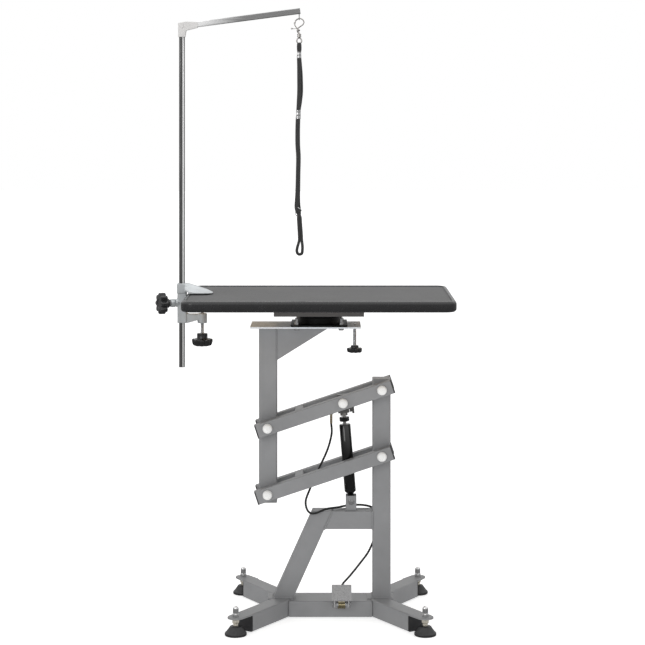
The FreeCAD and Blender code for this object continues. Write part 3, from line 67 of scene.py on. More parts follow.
class Shader:
    """A small helper round a material's node tree."""

    def __init__(self, name):
        self.material = bpy.data.materials.new(name)
        self.material.use_nodes = True
        self.tree = self.material.node_tree
        self.bsdf = self.tree.nodes["Principled BSDF"]

    def node(self, kind, inputs=None, **settings):
        made = self.tree.nodes.new(kind)
        for key, value in settings.items():
            setattr(made, key, value)
        for key, value in (inputs or {}).items():
            self.feed(made, key, value)
        return made

    def feed(self, target, key, value):
        socket = target.inputs[key]
        if isinstance(value, bpy.types.NodeSocket):
            self.tree.links.new(value, socket)
        else:
            socket.default_value = value

    def set(self, **values):
        for key, value in values.items():
            self.feed(self.bsdf, key.replace("_", " "), value)

    def place(self, scale=(1, 1, 1)):
        """The object's own coordinates, in metres, stretched by scale."""
        spot = self.node("ShaderNodeTexCoord").outputs["Object"]
        return self.node("ShaderNodeMapping", {"Vector": spot, "Scale": scale}).outputs[0]

    def noise(self, scale, detail=4, rough=0.55, where=None):
        where = where or self.place()
        made = self.node("ShaderNodeTexNoise", {"Vector": where, "Scale": scale,
                                                "Detail": detail, "Roughness": rough})
        return made.outputs["Fac"]

    def cells(self, scale, where=None):
        where = where or self.place()
        made = self.node("ShaderNodeTexVoronoi", {"Vector": where, "Scale": scale})
        return made.outputs["Distance"]

    def bands(self, scale, direction):
        made = self.node("ShaderNodeTexWave", {"Vector": self.place(), "Scale": scale,
                                               "Distortion": 0.6, "Detail Scale": 4.0},
                         bands_direction=direction)
        return made.outputs["Fac"]

    def ramp(self, value, low, high, start=0.0, end=1.0):
        made = self.node("ShaderNodeMapRange", {"Value": value, "From Min": low, "From Max": high,
                                                "To Min": start, "To Max": end})
        return made.outputs[0]

    def mix(self, factor, a, b):
        made = self.node("ShaderNodeMix", data_type="RGBA")
        self.feed(made, 0, factor)
        self.feed(made, 6, a)
        self.feed(made, 7, b)
        return made.outputs[2]

    def math(self, operation, a, b=0.0):
        made = self.node("ShaderNodeMath", operation=operation)
        self.feed(made, 0, a)
        self.feed(made, 1, b)
        return made.outputs[0]

    def rounded(self, radius):
        """A normal that softens sharp edges over a radius in metres."""
        if not radius:
            return self.node("ShaderNodeNewGeometry").outputs["Normal"]
        return self.node("ShaderNodeBevel", {"Radius": radius}, samples=4).outputs[0]

    def bump(self, height, strength, distance, radius=0.0012):
        inputs = {"Height": height, "Strength": strength, "Distance": distance,
                  "Normal": self.rounded(radius)}
        return self.node("ShaderNodeBump", inputs).outputs[0]


def tone(colour, factor=1.0):
    return tuple(min(1.0, c * factor) for c in colour) + (1,)


def grey(value):
    return (value, value, value, 1)


def painted(name, colour, grain=650, rough=(0.38, 0.5), strength=0.08, spread=0.07,
            shine=0.5):
    """Powder coat: faint blotches, a fine orange peel and a satin sheen."""
    s = Shader(name)
    s.set(Base_Color=s.mix(s.ramp(s.noise(9, 5), 0.35, 0.65), tone(colour, 1 - spread),
                           tone(colour, 1 + spread)),
          Roughness=s.ramp(s.noise(grain * 1.4, 2), 0.3, 0.7, *rough),
          Specular_IOR_Level=shine,
          Normal=s.bump(s.noise(grain, 3), strength, 0.0004, 0.0026))
    return s.material


def plated(name, colour, rough, stretch=(1, 1, 1), grain=240, strength=0.05, spread=0.08,
           metallic=1.0):
    """Bare or plated metal: uneven tone and fine marks that run along it."""
    s = Shader(name)
    marks = s.noise(grain, 6, 0.7, s.place(stretch))
    s.set(Base_Color=s.mix(s.ramp(s.noise(22, 4), 0.3, 0.7), tone(colour, 1 - spread),
                           tone(colour, 1 + spread)),
          Metallic=metallic, Roughness=s.ramp(marks, 0.3, 0.7, *rough),
          Normal=s.bump(marks, strength, 0.0003, 0.0006))
    return s.material


def moulded(name, colour, rough, grain=900, strength=0.08, spread=0.12, radius=0.0012):
    """Moulded plastic or rubber with a fine grain and a little dust."""
    s = Shader(name)
    s.set(Base_Color=s.mix(s.ramp(s.noise(40, 5), 0.35, 0.7), tone(colour, 1 - spread),
                           tone(colour, 1 + spread)),
          Roughness=s.ramp(s.noise(130, 4), 0.3, 0.7, *rough),
          Normal=s.bump(s.noise(grain, 2), strength, 0.0003, radius))
    return s.material


def mat_rubber():
    """Matt rubber sheet with a pebbled face."""
    s = Shader("mat_rubber")
    pebbles = s.cells(420)
    s.set(Base_Color=s.mix(s.ramp(s.noise(6, 6), 0.3, 0.7), grey(0.1), grey(0.122)),
          Roughness=s.ramp(pebbles, 0, 0.6, 0.62, 0.8),
          Normal=s.bump(pebbles, 0.35, 0.0006))
    return s.material


def speckled(name, base, fleck, rough):
    """Hammered paint: dark flecks over a lighter ground."""
    s = Shader(name)
    flecks = s.ramp(s.noise(520, 2), 0.5, 0.62)
    s.set(Base_Color=s.mix(flecks, tone(base), tone(fleck)), Roughness=rough,
          Normal=s.bump(s.noise(420, 2), 0.25, 0.0005))
    return s.material


def tube_metal(name, centre, rough):
    """Drawn square tube on end: dark, with a painted highlight, one bright streak, down every face.
    """
    s = Shader(name)
    spot = s.node("ShaderNodeSeparateXYZ", {"Vector": s.place()}).outputs
    # Painted highlight: a narrow bright streak of colour at the given x and at the given y, running
    # down the tube, and dark colour elsewhere.
    painted_highlight_streaks = [s.ramp(s.math("ABSOLUTE", s.math("SUBTRACT", spot[axis], middle)), 0.001, 0.0026)
               for axis, middle in zip("XY", centre)]
    lines = s.noise(420, 5, 0.7, s.place(ALONG_Z))
    dull = s.math("MULTIPLY", s.math("MULTIPLY", *painted_highlight_streaks), s.ramp(lines, 0.2, 0.6, 0.8, 1))
    s.set(Base_Color=s.mix(dull, grey(0.8), grey(0.06)), Metallic=0.7,
          Roughness=s.ramp(lines, 0.3, 0.7, *rough), Normal=s.bump(lines, 0.04, 0.0003, 0.0008))
    return s.material


def bar_metal(rough):
    """The arm's bar: bright next to its bracket and dull further out, with marks along it."""
    s = Shader("arm_bar_metal")
    along = s.node("ShaderNodeSeparateXYZ", {"Vector": s.place()}).outputs["X"]
    lines = s.noise(300, 6, 0.7, s.place(ALONG_X))
    dull_further_out_and_marks = s.math("ADD", s.ramp(along, -0.37, -0.24), s.ramp(lines, 0.35, 0.65, -0.2, 0.2))
    s.set(Base_Color=s.mix(dull_further_out_and_marks, grey(0.85), grey(0.25)), Metallic=0.8,
          Roughness=s.ramp(lines, 0.3, 0.7, *rough), Normal=s.bump(lines, 0.05, 0.0003, 0.0008))
    return s.material


def webbing():
    """Woven nylon: ribs across the strap and a soft sheen."""
    s = Shader("webbing")
    weave = s.math("MULTIPLY", s.bands(260, "Z"), s.bands(330, "X"))
    s.set(Base_Color=s.mix(weave, grey(0.014), grey(0.05)), Roughness=0.72,
          Sheen_Weight=0.25, Normal=s.bump(weave, 0.55, 0.0007, 0.0004))
    return s.material


def panel_wood():
    s = Shader("board_wood")
    grain = s.noise(60, 8, 0.6, s.place((0.1, 1, 1)))
    s.set(Base_Color=s.mix(grain, (0.33, 0.23, 0.13, 1), (0.55, 0.42, 0.27, 1)), Roughness=0.7,
          Normal=s.bump(grain, 0.2, 0.0005))
    return s.material


MATERIALS = {
    "powder_grey": painted("powder_grey", (0.218, 0.22, 0.225)),
    "plate_grey": speckled("plate_grey", (0.36, 0.36, 0.365), (0.22, 0.22, 0.22), 0.5),
    "tray_grey": painted("tray_grey", (0.075, 0.075, 0.078)),
    "zinc": plated("zinc", (0.6, 0.6, 0.605), (0.12, 0.3)),
    "chrome": plated("chrome", (0.47, 0.455, 0.44), (0.06, 0.18), strength=0.02),
    "cast_alloy": plated("cast_alloy", (0.5, 0.52, 0.53), (0.4, 0.56), grain=500,
                         strength=0.12, metallic=0.75),
    "black_plastic": moulded("black_plastic", (0.01, 0.01, 0.011), (0.18, 0.34), strength=0.04),
    "white_nylon": moulded("white_nylon", (0.76, 0.76, 0.75), (0.3, 0.42), spread=0.03),
    "foot_rubber": moulded("foot_rubber", (0.013, 0.013, 0.014), (0.4, 0.56)),
    "mat_rubber": mat_rubber(),
    "trim_plastic": moulded("trim_plastic", (0.014, 0.014, 0.015), (0.22, 0.3), strength=0.01,
                            radius=0),
    "board_wood": panel_wood(),
    "webbing": webbing(),
    "gas_black": moulded("gas_black", (0.002, 0.002, 0.002), (0.06, 0.14), strength=0.02),
    "yellow_zinc": plated("yellow_zinc", (0.7, 0.66, 0.57), (0.14, 0.3), spread=0.2,
                          metallic=0.6),
    "brass": plated("brass", (0.5, 0.42, 0.3), (0.22, 0.36)),
    "cable_black": moulded("cable_black", (0.003, 0.003, 0.003), (0.4, 0.55)),
    "bearing_black": painted("bearing_black", (0.004, 0.004, 0.004), rough=(0.3, 0.45), shine=0.2),
}
HEAD_METAL = painted("release_head_metal", (0.08, 0.078, 0.075), rough=(0.3, 0.42))
PLUG_PLASTIC = moulded("plug_plastic", (0.032, 0.032, 0.034), (0.34, 0.5))
OWN_MATERIALS = {
    # The arm post's painted highlight streaks are centred on this x and y, in metres.
    "arm_post": tube_metal("arm_tube_painted_highlight", (-0.4168, 0.003), (0.16, 0.34)),
    "arm_bar": bar_metal((0.28, 0.44)),
    "arm_bracket": plated("arm_bracket_metal", (0.66, 0.65, 0.64), (0.26, 0.4), metallic=0.4),
    # The spring keeps a plated brassy tone, darkened as painted shade for the recess under the
    # pedal.
    "pedal_spring": plated("spring_metal_painted_shade", (0.4, 0.35, 0.22), (0.2, 0.36), spread=0.2),
    "column_plate": speckled("column_plate_metal", (0.72, 0.76, 0.8), (0.5, 0.52, 0.54), 0.36),
    "release_head": HEAD_METAL,
    "release_lever": HEAD_METAL,
    "leg_end_plugs": PLUG_PLASTIC,
    "upper_arm_plugs": PLUG_PLASTIC,
    "lower_arm_plugs": PLUG_PLASTIC,
}

for part in frame["record"]["subparts"]:
    data = nodes[part["node"]].data
    data.materials.clear()
    data.materials.append(MATERIALS[part["material_slot"]])
for name, material in OWN_MATERIALS.items():
    nodes[name].data.materials[0] = material
for node in nodes.values():
    weld = node.modifiers.new("weld", "WELD")
    weld.merge_threshold = 0.01 * MM

# ---- mesh helpers --------------------------------------------------------------------------


def skin(shells):
    """A mesh of closed skins, each a pair of rings of points and whether the rings loop."""
    points, faces = [], []
    for rings, looped in shells:
        start, around, count = len(points), len(rings[0]), len(rings)
        for ring in rings:
            points.extend(ring)
        for i in range(count if looped else count - 1):
            here, there = start + i * around, start + (i + 1) % count * around
            for j in range(around):
                k = (j + 1) % around
                faces.append((here + j, here + k, there + k, there + j))
        if not looped:
            last = start + (count - 1) * around
            faces.append(tuple(start + j for j in reversed(range(around))))
            faces.append(tuple(last + j for j in range(around)))
    data = bpy.data.meshes.new("skin")
    data.from_pydata([Vector(p) * MM for p in points], [], faces)
    work = bmesh.new()
    work.from_mesh(data)
    bmesh.ops.recalc_face_normals(work, faces=work.faces)
    work.to_mesh(data)
    work.free()
    return data


def add_piece(name, shells, slot, body=None, stands_for=(), crease=35):
    """A new piece made of closed skins, riding on a body in place of CAD nodes."""
    data = skin(shells)
    data.materials.append(MATERIALS[slot])
    data.shade_smooth()
    data.set_sharp_from_angle(angle=math.radians(crease))
    piece = bpy.data.objects.new(name, data)
    bpy.context.scene.collection.objects.link(piece)
    if body:
        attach(piece, body)
    if stands_for:
        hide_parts(*stands_for)
    return piece


def ring(radius, height, sides=40, outline=None, inset=0):
    """A level ring of points; an outline gives the farthest reach at each angle."""
    made = []
    for i in range(sides):
        angle = 2 * math.pi * i / sides
        reach = radius if outline is None else min(radius, outline(angle) - inset)
        made.append(Vector((reach * math.cos(angle), reach * math.sin(angle), height)))
    return made


def hexagon(flats):
    sixth = math.pi / 3
    return lambda angle: flats / 2 / math.cos((angle + sixth / 2) % sixth - sixth / 2)


def lobes(radius, count, depth):
    return lambda angle: radius * (1 - depth * (0.5 - 0.5 * math.cos(count * angle)) ** 1.5)


def lathe(profile, looped=False, sides=40):
    """A turned skin through radii and heights."""
    return [ring(max(r, 0.01), h, sides) for r, h in profile], looped


def nut(flats, low, high, sides=36):
    """A chamfered hexagon nut or bolt head."""
    wide, tall = flats / math.sqrt(3), high - low
    profile = [(flats * 0.46, 0), (wide * 0.95, 0), (wide, tall * 0.12), (wide, tall * 0.88),
               (wide * 0.95, tall), (flats * 0.46, tall)]
    return [ring(r, low + h, sides, hexagon(flats)) for r, h in profile], False


def thread(radius, low, high, pitch=1.5, sides=20, steps=6):
    """A screw thread along Z."""
    rings = []
    count = round((high - low) / pitch * steps)
    for i in range(count + 1):
        z = low + (high - low) * i / count
        made = []
        for j in range(sides):
            angle = 2 * math.pi * j / sides
            crest = abs(2 * ((z / pitch - j / sides) % 1) - 1)
            reach = radius - 0.55 * pitch * (1 - crest)
            made.append(Vector((reach * math.cos(angle), reach * math.sin(angle), z)))
        rings.append(made)
    return rings, False


def stood(shell, at, along=(0, 0, 1)):
    """A skin drawn about Z, moved to a point and turned to face along a direction."""
    rings, looped = shell
    facing = Vector(along).to_track_quat("Z", "Y").to_matrix().to_4x4()
    matrix = Matrix.Translation(at) @ facing
    return [[matrix @ p for p in r] for r in rings], looped


def smooth_path(points, steps=8, looped=False):
    """Points along a Catmull-Rom curve."""
    spots = [Vector(p) for p in points]
    count = len(spots)
    path = []
    for i in range(count if looped else count - 1):
        a, b, c, d = (spots[k % count] if looped else spots[min(max(k, 0), count - 1)]
                      for k in (i - 1, i, i + 1, i + 2))
        for step in range(steps):
            t = step / steps
            path.append(0.5 * (2 * b + (c - a) * t + (2 * a - 5 * b + 4 * c - d) * t * t
                               + (3 * b - a - 3 * c + d) * t ** 3))
    if not looped:
        path.append(spots[-1])
    return path


def even_path(points, gap, looped=False):
    """Points a small gap apart along straight runs."""
    spots = [Vector(p) for p in points]
    if looped:
        spots.append(spots[0])
    path = [spots[0]]
    for a, b in zip(spots, spots[1:]):
        count = max(1, round((b - a).length / gap))
        path += [a.lerp(b, i / count) for i in range(1, count + 1)]
    return path[:-1] if looped else path


def oval(wide, thick, sides=20, power=1.0):
    """A section as across and up pairs; a power below one squares it."""
    pairs = []
    for i in range(sides):
        angle = 2 * math.pi * i / sides
        c, s = math.cos(angle), math.sin(angle)
        pairs.append((math.copysign(abs(c) ** power, c) * wide / 2,
                      math.copysign(abs(s) ** power, s) * thick / 2))
    return pairs


def sweep(path, section, looped=False, side=(0, 1, 0)):
    """A skin whose section, given by how far along it is, is carried along a path."""
    side = Vector(side)
    rings, count = [], len(path)
    for i, spot in enumerate(path):
        before = path[i - 1] if looped or i else spot
        after = path[(i + 1) % count] if looped or i + 1 < count else spot
        along = (after - before).normalized()
        side = (side - along * side.dot(along)).normalized()
        up = along.cross(side)
        rings.append([spot + side * a + up * b for a, b in section(i / count)])
    return rings, looped


def wire(points, radius, steps=8, looped=False, sides=12):
    path = smooth_path(points, steps, looped)
    return sweep(path, lambda t: oval(2 * radius, 2 * radius, sides), looped)


def sides_of(points, low, high):
    """A prism between two heights with a flat outline."""
    return [[Vector((x, y, z)) for x, y in points] for z in (low, high)], False


def brick(low, high):
    outline = [(low[0], low[1]), (high[0], low[1]), (high[0], high[1]), (low[0], high[1])]
    return sides_of(outline, low[2], high[2])


def rounded_loop(half_x, half_y, corner, steps=6, grow=0.0):
    """Level points round a rounded rectangle about the origin; grow moves them outwards."""
    loop = []
    for quarter, (i, j) in enumerate(((1, 1), (-1, 1), (-1, -1), (1, -1))):
        for step in range(steps + 1):
            angle = math.radians(90 * quarter + 90 * step / steps)
            reach = corner + grow
            loop.append((i * (half_x - corner) + reach * math.cos(angle),
                         j * (half_y - corner) + reach * math.sin(angle)))
    return loop


# ---- places taken from the frame -----------------------------------------------------------

def span(node, axis):
    """A node's lowest and highest place along one axis, in millimetres, to a micron."""
    return tuple(round(corner[axis] / MM, 3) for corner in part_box(node))


def midpoint(node, axis):
    """The middle of a node's box along one axis."""
    low, high = span(node, axis)
    return (low + high) / 2


def half_size(node, axis):
    """Half of a node's size along one axis."""
    low, high = span(node, axis)
    return (high - low) / 2


# ---- feet ----------------------------------------------------------------------------------

FOOT_X, FOOT_Y = midpoint("foot_stud_rear_right", X), midpoint("foot_stud_rear_right", Y)
STUD_RADIUS, STUD_LOW, STUD_TOP = 5, 10.5, 68
CORNERS = {"front_left": (-1, -1), "front_right": (1, -1), "rear_left": (-1, 1),
           "rear_right": (1, 1)}
PAD_PROFILE = [(0, 0), (28.4, 0), (29.6, 0.8), (30, 2.4), (30, 6.2), (29.2, 7.8), (27.2, 9.2),
               (24, 13), (20.4, 17.8), (17.6, 21.8), (16.2, 24.2), (14, 25.5), (5.1, 25.5),
               (5.1, 10), (0, 10)]
ACORN_PROFILE = [(8, 0), (9.2, 0), (9.8, 0.9), (9.8, 8.2), (8.6, 9), (7.8, 9.6), (7.8, 20)]
COLLAR_PROFILE = [(0, 33), (8.6, 33), (9.2, 33.5), (8.6, 34.2), (0, 34.2)]
DOME_RADIUS, DOME_LEVEL, LEG_TOP = 7.8, 21.2, 50

acorns = []
for corner, (i, j) in CORNERS.items():
    spot = (i * FOOT_X, j * FOOT_Y, 0)
    add_piece("pad_" + corner, [stood(lathe(PAD_PROFILE, sides=56), spot)], "foot_rubber",
              "foot_" + corner, ["foot_pad_" + corner])
    stud = [thread(STUD_RADIUS, STUD_LOW, STUD_TOP), nut(13, 26, 32), lathe(COLLAR_PROFILE),
            nut(18.5, 35.4, 42.5)]
    add_piece("stud_" + corner, [stood(s, spot) for s in stud], "yellow_zinc", "stud_" + corner,
              ["foot_stud_" + corner])
    shape = [ring(r, h, 48, hexagon(17)) for r, h in ACORN_PROFILE]
    for degrees in range(0, 90, 10):
        lift = math.radians(degrees)
        shape.append(ring(DOME_RADIUS * math.cos(lift), DOME_LEVEL + DOME_RADIUS * math.sin(lift),
                          48))
    acorns.append(stood((shape, False), (spot[0], spot[1], LEG_TOP)))
add_piece("acorn_nuts", acorns, "zinc", "base", ["foot_acorn_nuts"])

# ---- weld beads ----------------------------------------------------------------------------


def bead(path, radius, looped=False, side=(0, 1, 0)):
    """A rippled weld bead along a path."""
    pitch = 3.0

    def section(t):
        reach = radius * (1 + 0.14 * math.sin(2 * math.pi * t * len(path) / pitch))
        return oval(2 * reach, 2 * reach, 10)

    return sweep(path, section, looped, side)


def level_bead(x, y, z, half_x, half_y, radius):
    loop = [(x + a, y + b, z) for a, b in rounded_loop(half_x, half_y, 4)]
    return bead(even_path(loop, 1.0, True), radius, True, (0, 0, 1))


TUBE_HALF, POST_X = half_size("post_tube", X), midpoint("post_tube", X)
COLUMN_X = span("column_tube", X)[0] + TUBE_HALF
RAIL_LOW, RAIL_HIGH = 244, 294
BRACE_TILT = math.radians(24.3)
BRACE_LEFT, BRACE_WIDE = -161, 51 / math.cos(BRACE_TILT)


def brace_right(z):
    return BRACE_LEFT + BRACE_WIDE + (z - LEG_TOP) * math.tan(BRACE_TILT)


base_beads = [level_bead(POST_X, 0, LEG_TOP + 0.5, TUBE_HALF + 0.6, TUBE_HALF + 0.6, 2.2),
              level_bead(BRACE_LEFT + BRACE_WIDE / 2, 0, LEG_TOP + 0.5, BRACE_WIDE / 2 + 0.6,
                         TUBE_HALF + 0.6, 2.2)]
post_left = POST_X - TUBE_HALF
for x_low, x_high, lean in ((post_left, post_left, 2.4),
                            (brace_right(RAIL_LOW), brace_right(RAIL_HIGH), 2.6)):
    loop = [(x_low, -TUBE_HALF, RAIL_LOW), (x_high, -TUBE_HALF, RAIL_HIGH),
            (x_high, TUBE_HALF, RAIL_HIGH), (x_low, TUBE_HALF, RAIL_LOW)]
    base_beads.append(bead(even_path(loop, 1.0, True), lean, True, (1, 0, 0)))
BEAM_END, BEAM_SIDE, BEAM_FOOT, BEAM_TOP = 115.8, 49.6, 5, 47.4
TOP_SEAM_X, TOP_SEAM_INNER, TOP_SEAM_OUTER = 116, 30, 47
for side in (-1, 1):
    for end in (-1, 1):
        seam = [(end * BEAM_END, side * BEAM_SIDE, BEAM_FOOT),
                (end * BEAM_END, side * BEAM_SIDE, BEAM_TOP - 3.4)]
        base_beads.append(bead(even_path(seam, 1.0), 2.3))
        seam = [(end * TOP_SEAM_X, side * TOP_SEAM_OUTER, BEAM_TOP - 0.2),
                (end * TOP_SEAM_X, side * TOP_SEAM_INNER, BEAM_TOP + 0.2)]
        base_beads.append(bead(even_path(seam, 1.0), 1.5))
add_piece("base_welds", base_beads, "powder_grey", "base", crease=60)

PLATE_UNDER = span("column_plate", Z)[0]
GUSSET_LOW, GUSSET_LONG = 722, 148
column_beads = [level_bead(COLUMN_X, 0, PLATE_UNDER - 0.8, TUBE_HALF + 0.4, TUBE_HALF + 0.4, 1.8)]
column_right = COLUMN_X + TUBE_HALF
for side in (-1, 1):
    edge = side * TUBE_HALF
    run = [(column_right, edge, GUSSET_LOW), (column_right, edge, PLATE_UNDER - 2)]
    column_beads.append(bead(even_path(run, 1.0), 1.6, side=(1, 0, 0)))
    run = [(column_right + along, edge, PLATE_UNDER - 0.6) for along in (0, GUSSET_LONG)]
    column_beads.append(bead(even_path(run, 1.0), 1.5))
add_piece("column_welds", column_beads, "powder_grey", "column", crease=60)

# ---- tabletop edge -------------------------------------------------------------------------

SWIVEL_X, TOP_CORNER, TRIM_ROUND = midpoint("edge_trim", X), 34, 9
TOP_HALF_X, TOP_HALF_Y = half_size("edge_trim", X), half_size("edge_trim", Y)
TRIM_LOW, TRIM_HIGH = span("edge_trim", Z)
TRIM_LIP, TRIM_WALL, TRIM_SHEET = 12, 5, 2.5

section = [(TRIM_WALL, TRIM_LOW + TRIM_SHEET), (TRIM_LIP, TRIM_LOW + TRIM_SHEET),
           (TRIM_LIP, TRIM_LOW + 0.6), (TRIM_LIP - 0.6, TRIM_LOW)]
for centre, first in ((TRIM_LOW + TRIM_ROUND, -90), (TRIM_HIGH - TRIM_ROUND, 0)):
    for step in range(10):
        angle = math.radians(first + 10 * step)
        section.append((TRIM_ROUND * (1 - math.cos(angle)), centre + TRIM_ROUND * math.sin(angle)))
section += [(TRIM_LIP - 0.6, TRIM_HIGH), (TRIM_LIP, TRIM_HIGH - 0.6),
            (TRIM_LIP, TRIM_HIGH - TRIM_SHEET), (TRIM_WALL, TRIM_HIGH - TRIM_SHEET)]
loops = [rounded_loop(TOP_HALF_X, TOP_HALF_Y, TOP_CORNER, 14, -inset) for inset, z in section]
trim = [[Vector((SWIVEL_X + loop[k][0], loop[k][1], z)) for loop, (inset, z) in zip(loops, section)]
        for k in range(len(loops[0]))]
add_piece("table_edge_trim", [(trim, True)], "trim_plastic", "table", ["edge_trim"])

# ---- knobs and screws ----------------------------------------------------------------------

KNOB_BORE, KNOB_DEPTH, SCREW_GAP = 5.7, 6, 0.15
DISH, RIM, KNOB_SIDES = 1.6, 99, 140


def knob(radius, thick, hub, hub_height, count=7, depth=0.2, taper=0.0):
    """A lobed knob standing on its flat face, with a shallow dish there and its hub on top.

    Each step is a radius, a height and how far it stays inside the lobes. RIM is a radius past
    any knob, so those steps follow the lobes. The hub ends in a blind bore for the screw.
    """
    outline = lobes(radius, count, depth)
    top = thick + hub_height
    steps = [(hub * 0.9, DISH, 0), (hub * 1.02, 0, 0), (RIM, 0, 2.6 + taper),
             (RIM, 1, 0.8 + 0.72 * taper), (RIM, 2.4, 0.5 * taper),
             (RIM, 0.35 * thick, 0.2 * taper), (RIM, 0.6 * thick, 0.04 * taper),
             (RIM, thick - 3, 0), (RIM, thick - 1.2, 0.7), (RIM, thick - 0.2, 2.4),
             (hub * 1.25, thick, 0), (hub * 1.05, thick + 0.8, 0), (hub, thick + 2.2, 0),
             (hub, top - 1, 0), (hub - 1, top, 0), (KNOB_BORE, top, 0),
             (KNOB_BORE, top - KNOB_DEPTH, 0)]
    rings = [ring(0.01, DISH, KNOB_SIDES)]
    rings += [ring(r, h, KNOB_SIDES, outline, inset) for r, h, inset in steps]
    rings.append(ring(0.01, top - KNOB_DEPTH, KNOB_SIDES))
    return rings, False


BOSS_X, LOCK_X = midpoint("clamp_screw", X), midpoint("lock_screw", X)
ARM_POST_X = midpoint("arm_post", X)
SIDE_Z, SIDE_ANGLE = 880, math.radians(25)
SIDE_WAY = Vector((-math.cos(SIDE_ANGLE), -math.sin(SIDE_ANGLE), 0))
BESIDE_POST = Vector((ARM_POST_X, 0, SIDE_Z))
SIDE_KNOB_FAR = 70

CLAMP_KNOB = knob(29.5, 20.5, hub=15, hub_height=15, count=8, depth=0.16, taper=8)
LOCK_KNOB = knob(22.3, 13, hub=11, hub_height=7, count=7, depth=0.22, taper=3)
SIDE_KNOB = knob(30, 20, hub=13, hub_height=10, count=8, depth=0.27)
add_piece("clamp_star_knob", [stood(CLAMP_KNOB, (BOSS_X, 0, 757.5))],
          "black_plastic", "table_clamp_knob", ["clamp_knob"], 30)
add_piece("lock_star_knob", [stood(LOCK_KNOB, (LOCK_X, 0, 739))],
          "black_plastic", "brake_knob", ["lock_knob"], 30)
add_piece("side_star_knob",
          [stood(SIDE_KNOB, BESIDE_POST + SIDE_WAY * SIDE_KNOB_FAR, -SIDE_WAY)],
          "black_plastic", "post_lock_knob", ["side_knob"], 30)

FOOT_PROFILE = [(0, 873.4), (10.2, 873.8), (11, 874.8), (11, 878.2), (10.4, 879), (0, 879)]
LOCK_TIP = [(0, 818.8), (4, 818.8), (3.2, 820), (0, 820)]
add_piece("clamp_screw_thread",
          [stood(shell, (BOSS_X, 0, 0))
           for shell in (thread(4.8, 787 + SCREW_GAP, 874), lathe(FOOT_PROFILE))],
          "zinc", "table_clamp_screw", ["clamp_screw"])
add_piece("lock_screw_thread",
          [stood(shell, (LOCK_X, 0, 0))
           for shell in (thread(5, 753 + SCREW_GAP, 819), lathe(LOCK_TIP))],
          "zinc", "brake_screw", ["lock_screw"])
add_piece("side_screw_thread",
          [stood(shell, BESIDE_POST, SIDE_WAY)
           for shell in (thread(4.5, 12, 46 - SCREW_GAP), nut(15, 37.2, 39.8))],
          "zinc", "post_lock_screw", ["side_screw"])

# ---- arm clamp, as one casting ---------------------------------------------------------------

JAW_STATIONS = [
    # x, half width, underside, rim, crown half width, crown
    (-411, 34, 913, 918, 13, 934.5),
    (-401, 41, 913, 917, 12, 934.5),
    (-398, 42, 907.3, 914, 12, 933.6),
    (-384, 42, 907.3, 912.4, 10, 929.6),
    (-362, 41, 907.3, 911.6, 8, 922),
    (-347, 37, 907.3, 910.9, 7, 917),
    (-340, 30, 907.3, 910, 6, 913.5),
    (-335, 20, 907.3, 909, 5, 910.8),
    (-333, 12, 907.6, 908.6, 4, 909.4)]


def casting():
    """The clamp's parts as overlapping skins: sleeve and collar, lower arm, bosses and jaw."""
    left, right, half = -432.4, -407.3, 14
    low, high, channel = 823.4, 935, 8.15
    wall_y, wall_half = 11.2, 3
    collar, collar_low = 1.3, 908
    shells = [brick((left, -half, low), (ARM_POST_X - channel, half, high)),
              brick((ARM_POST_X + channel, -half, low), (right, half, high))]
    for side in (-1, 1):
        inner = side * wall_y
        outer = side * (wall_y + collar)
        shells.append(brick((left, inner - wall_half, low), (right, inner + wall_half, high)))
        shells.append(brick((left - collar, outer - wall_half, collar_low),
                            (right, outer + wall_half, high)))
    shells.append(brick((left - collar, -half, collar_low), (ARM_POST_X - channel, half, high)))

    arm_half, web, arm_top = 10.5, 831, 848.5
    arm = [(right - 4, low), (right + 4, low), (BOSS_X - 13, web), (BOSS_X - 6, web),
           (BOSS_X - 6, arm_top), (right + 6, arm_top), (right + 2, 850), (right - 4, 857)]
    shells.append(([[Vector((x, y, z)) for x, z in arm] for y in (-arm_half, arm_half)], False))

    bore, boss, boss_low, boss_high = 5.6, 13.5, 822.5, 849.5
    clamp_boss = [(bore, boss_low), (boss - 0.6, boss_low), (boss, low), (boss, boss_high),
                  (bore, boss_high)]
    shells.append(stood(lathe(clamp_boss, True), (BOSS_X, 0, 0)))
    side_bore = 5.2
    side_boss = [(side_bore, 8.4), (11.5, 8.4), (11.5, 18), (10.2, 19.5), (10.2, 22), (12, 23),
                 (12, 31), (10.8, 32), (10.8, 36), (side_bore, 36)]
    shells.append(stood(lathe(side_boss, True), BESIDE_POST, SIDE_WAY))

    jaw = []
    for x, half_wide, under, rim, half_crown, crown in JAW_STATIONS:
        shoulder, shoulder_z = half_crown * 2.2, rim + (crown - rim) * 0.55
        jaw.append([Vector((x, y, z)) for y, z in (
            (-half_wide, under), (half_wide, under), (half_wide, rim), (shoulder, shoulder_z),
            (half_crown, crown), (-half_crown, crown), (-shoulder, shoulder_z),
            (-half_wide, rim))])
    shells.append((jaw, False))
    return shells


clamp = add_piece("arm_clamp_casting", casting(), "cast_alloy", "table", ["arm_clamp"], 180)
remesh = clamp.modifiers.new("one skin", "REMESH")
remesh.mode = "VOXEL"
remesh.voxel_size = 0.9 * MM
remesh.use_smooth_shade = True
soften = clamp.modifiers.new("cast corners", "SMOOTH")
soften.factor = 0.5
soften.iterations = 5

# ---- snap hook -----------------------------------------------------------------------------

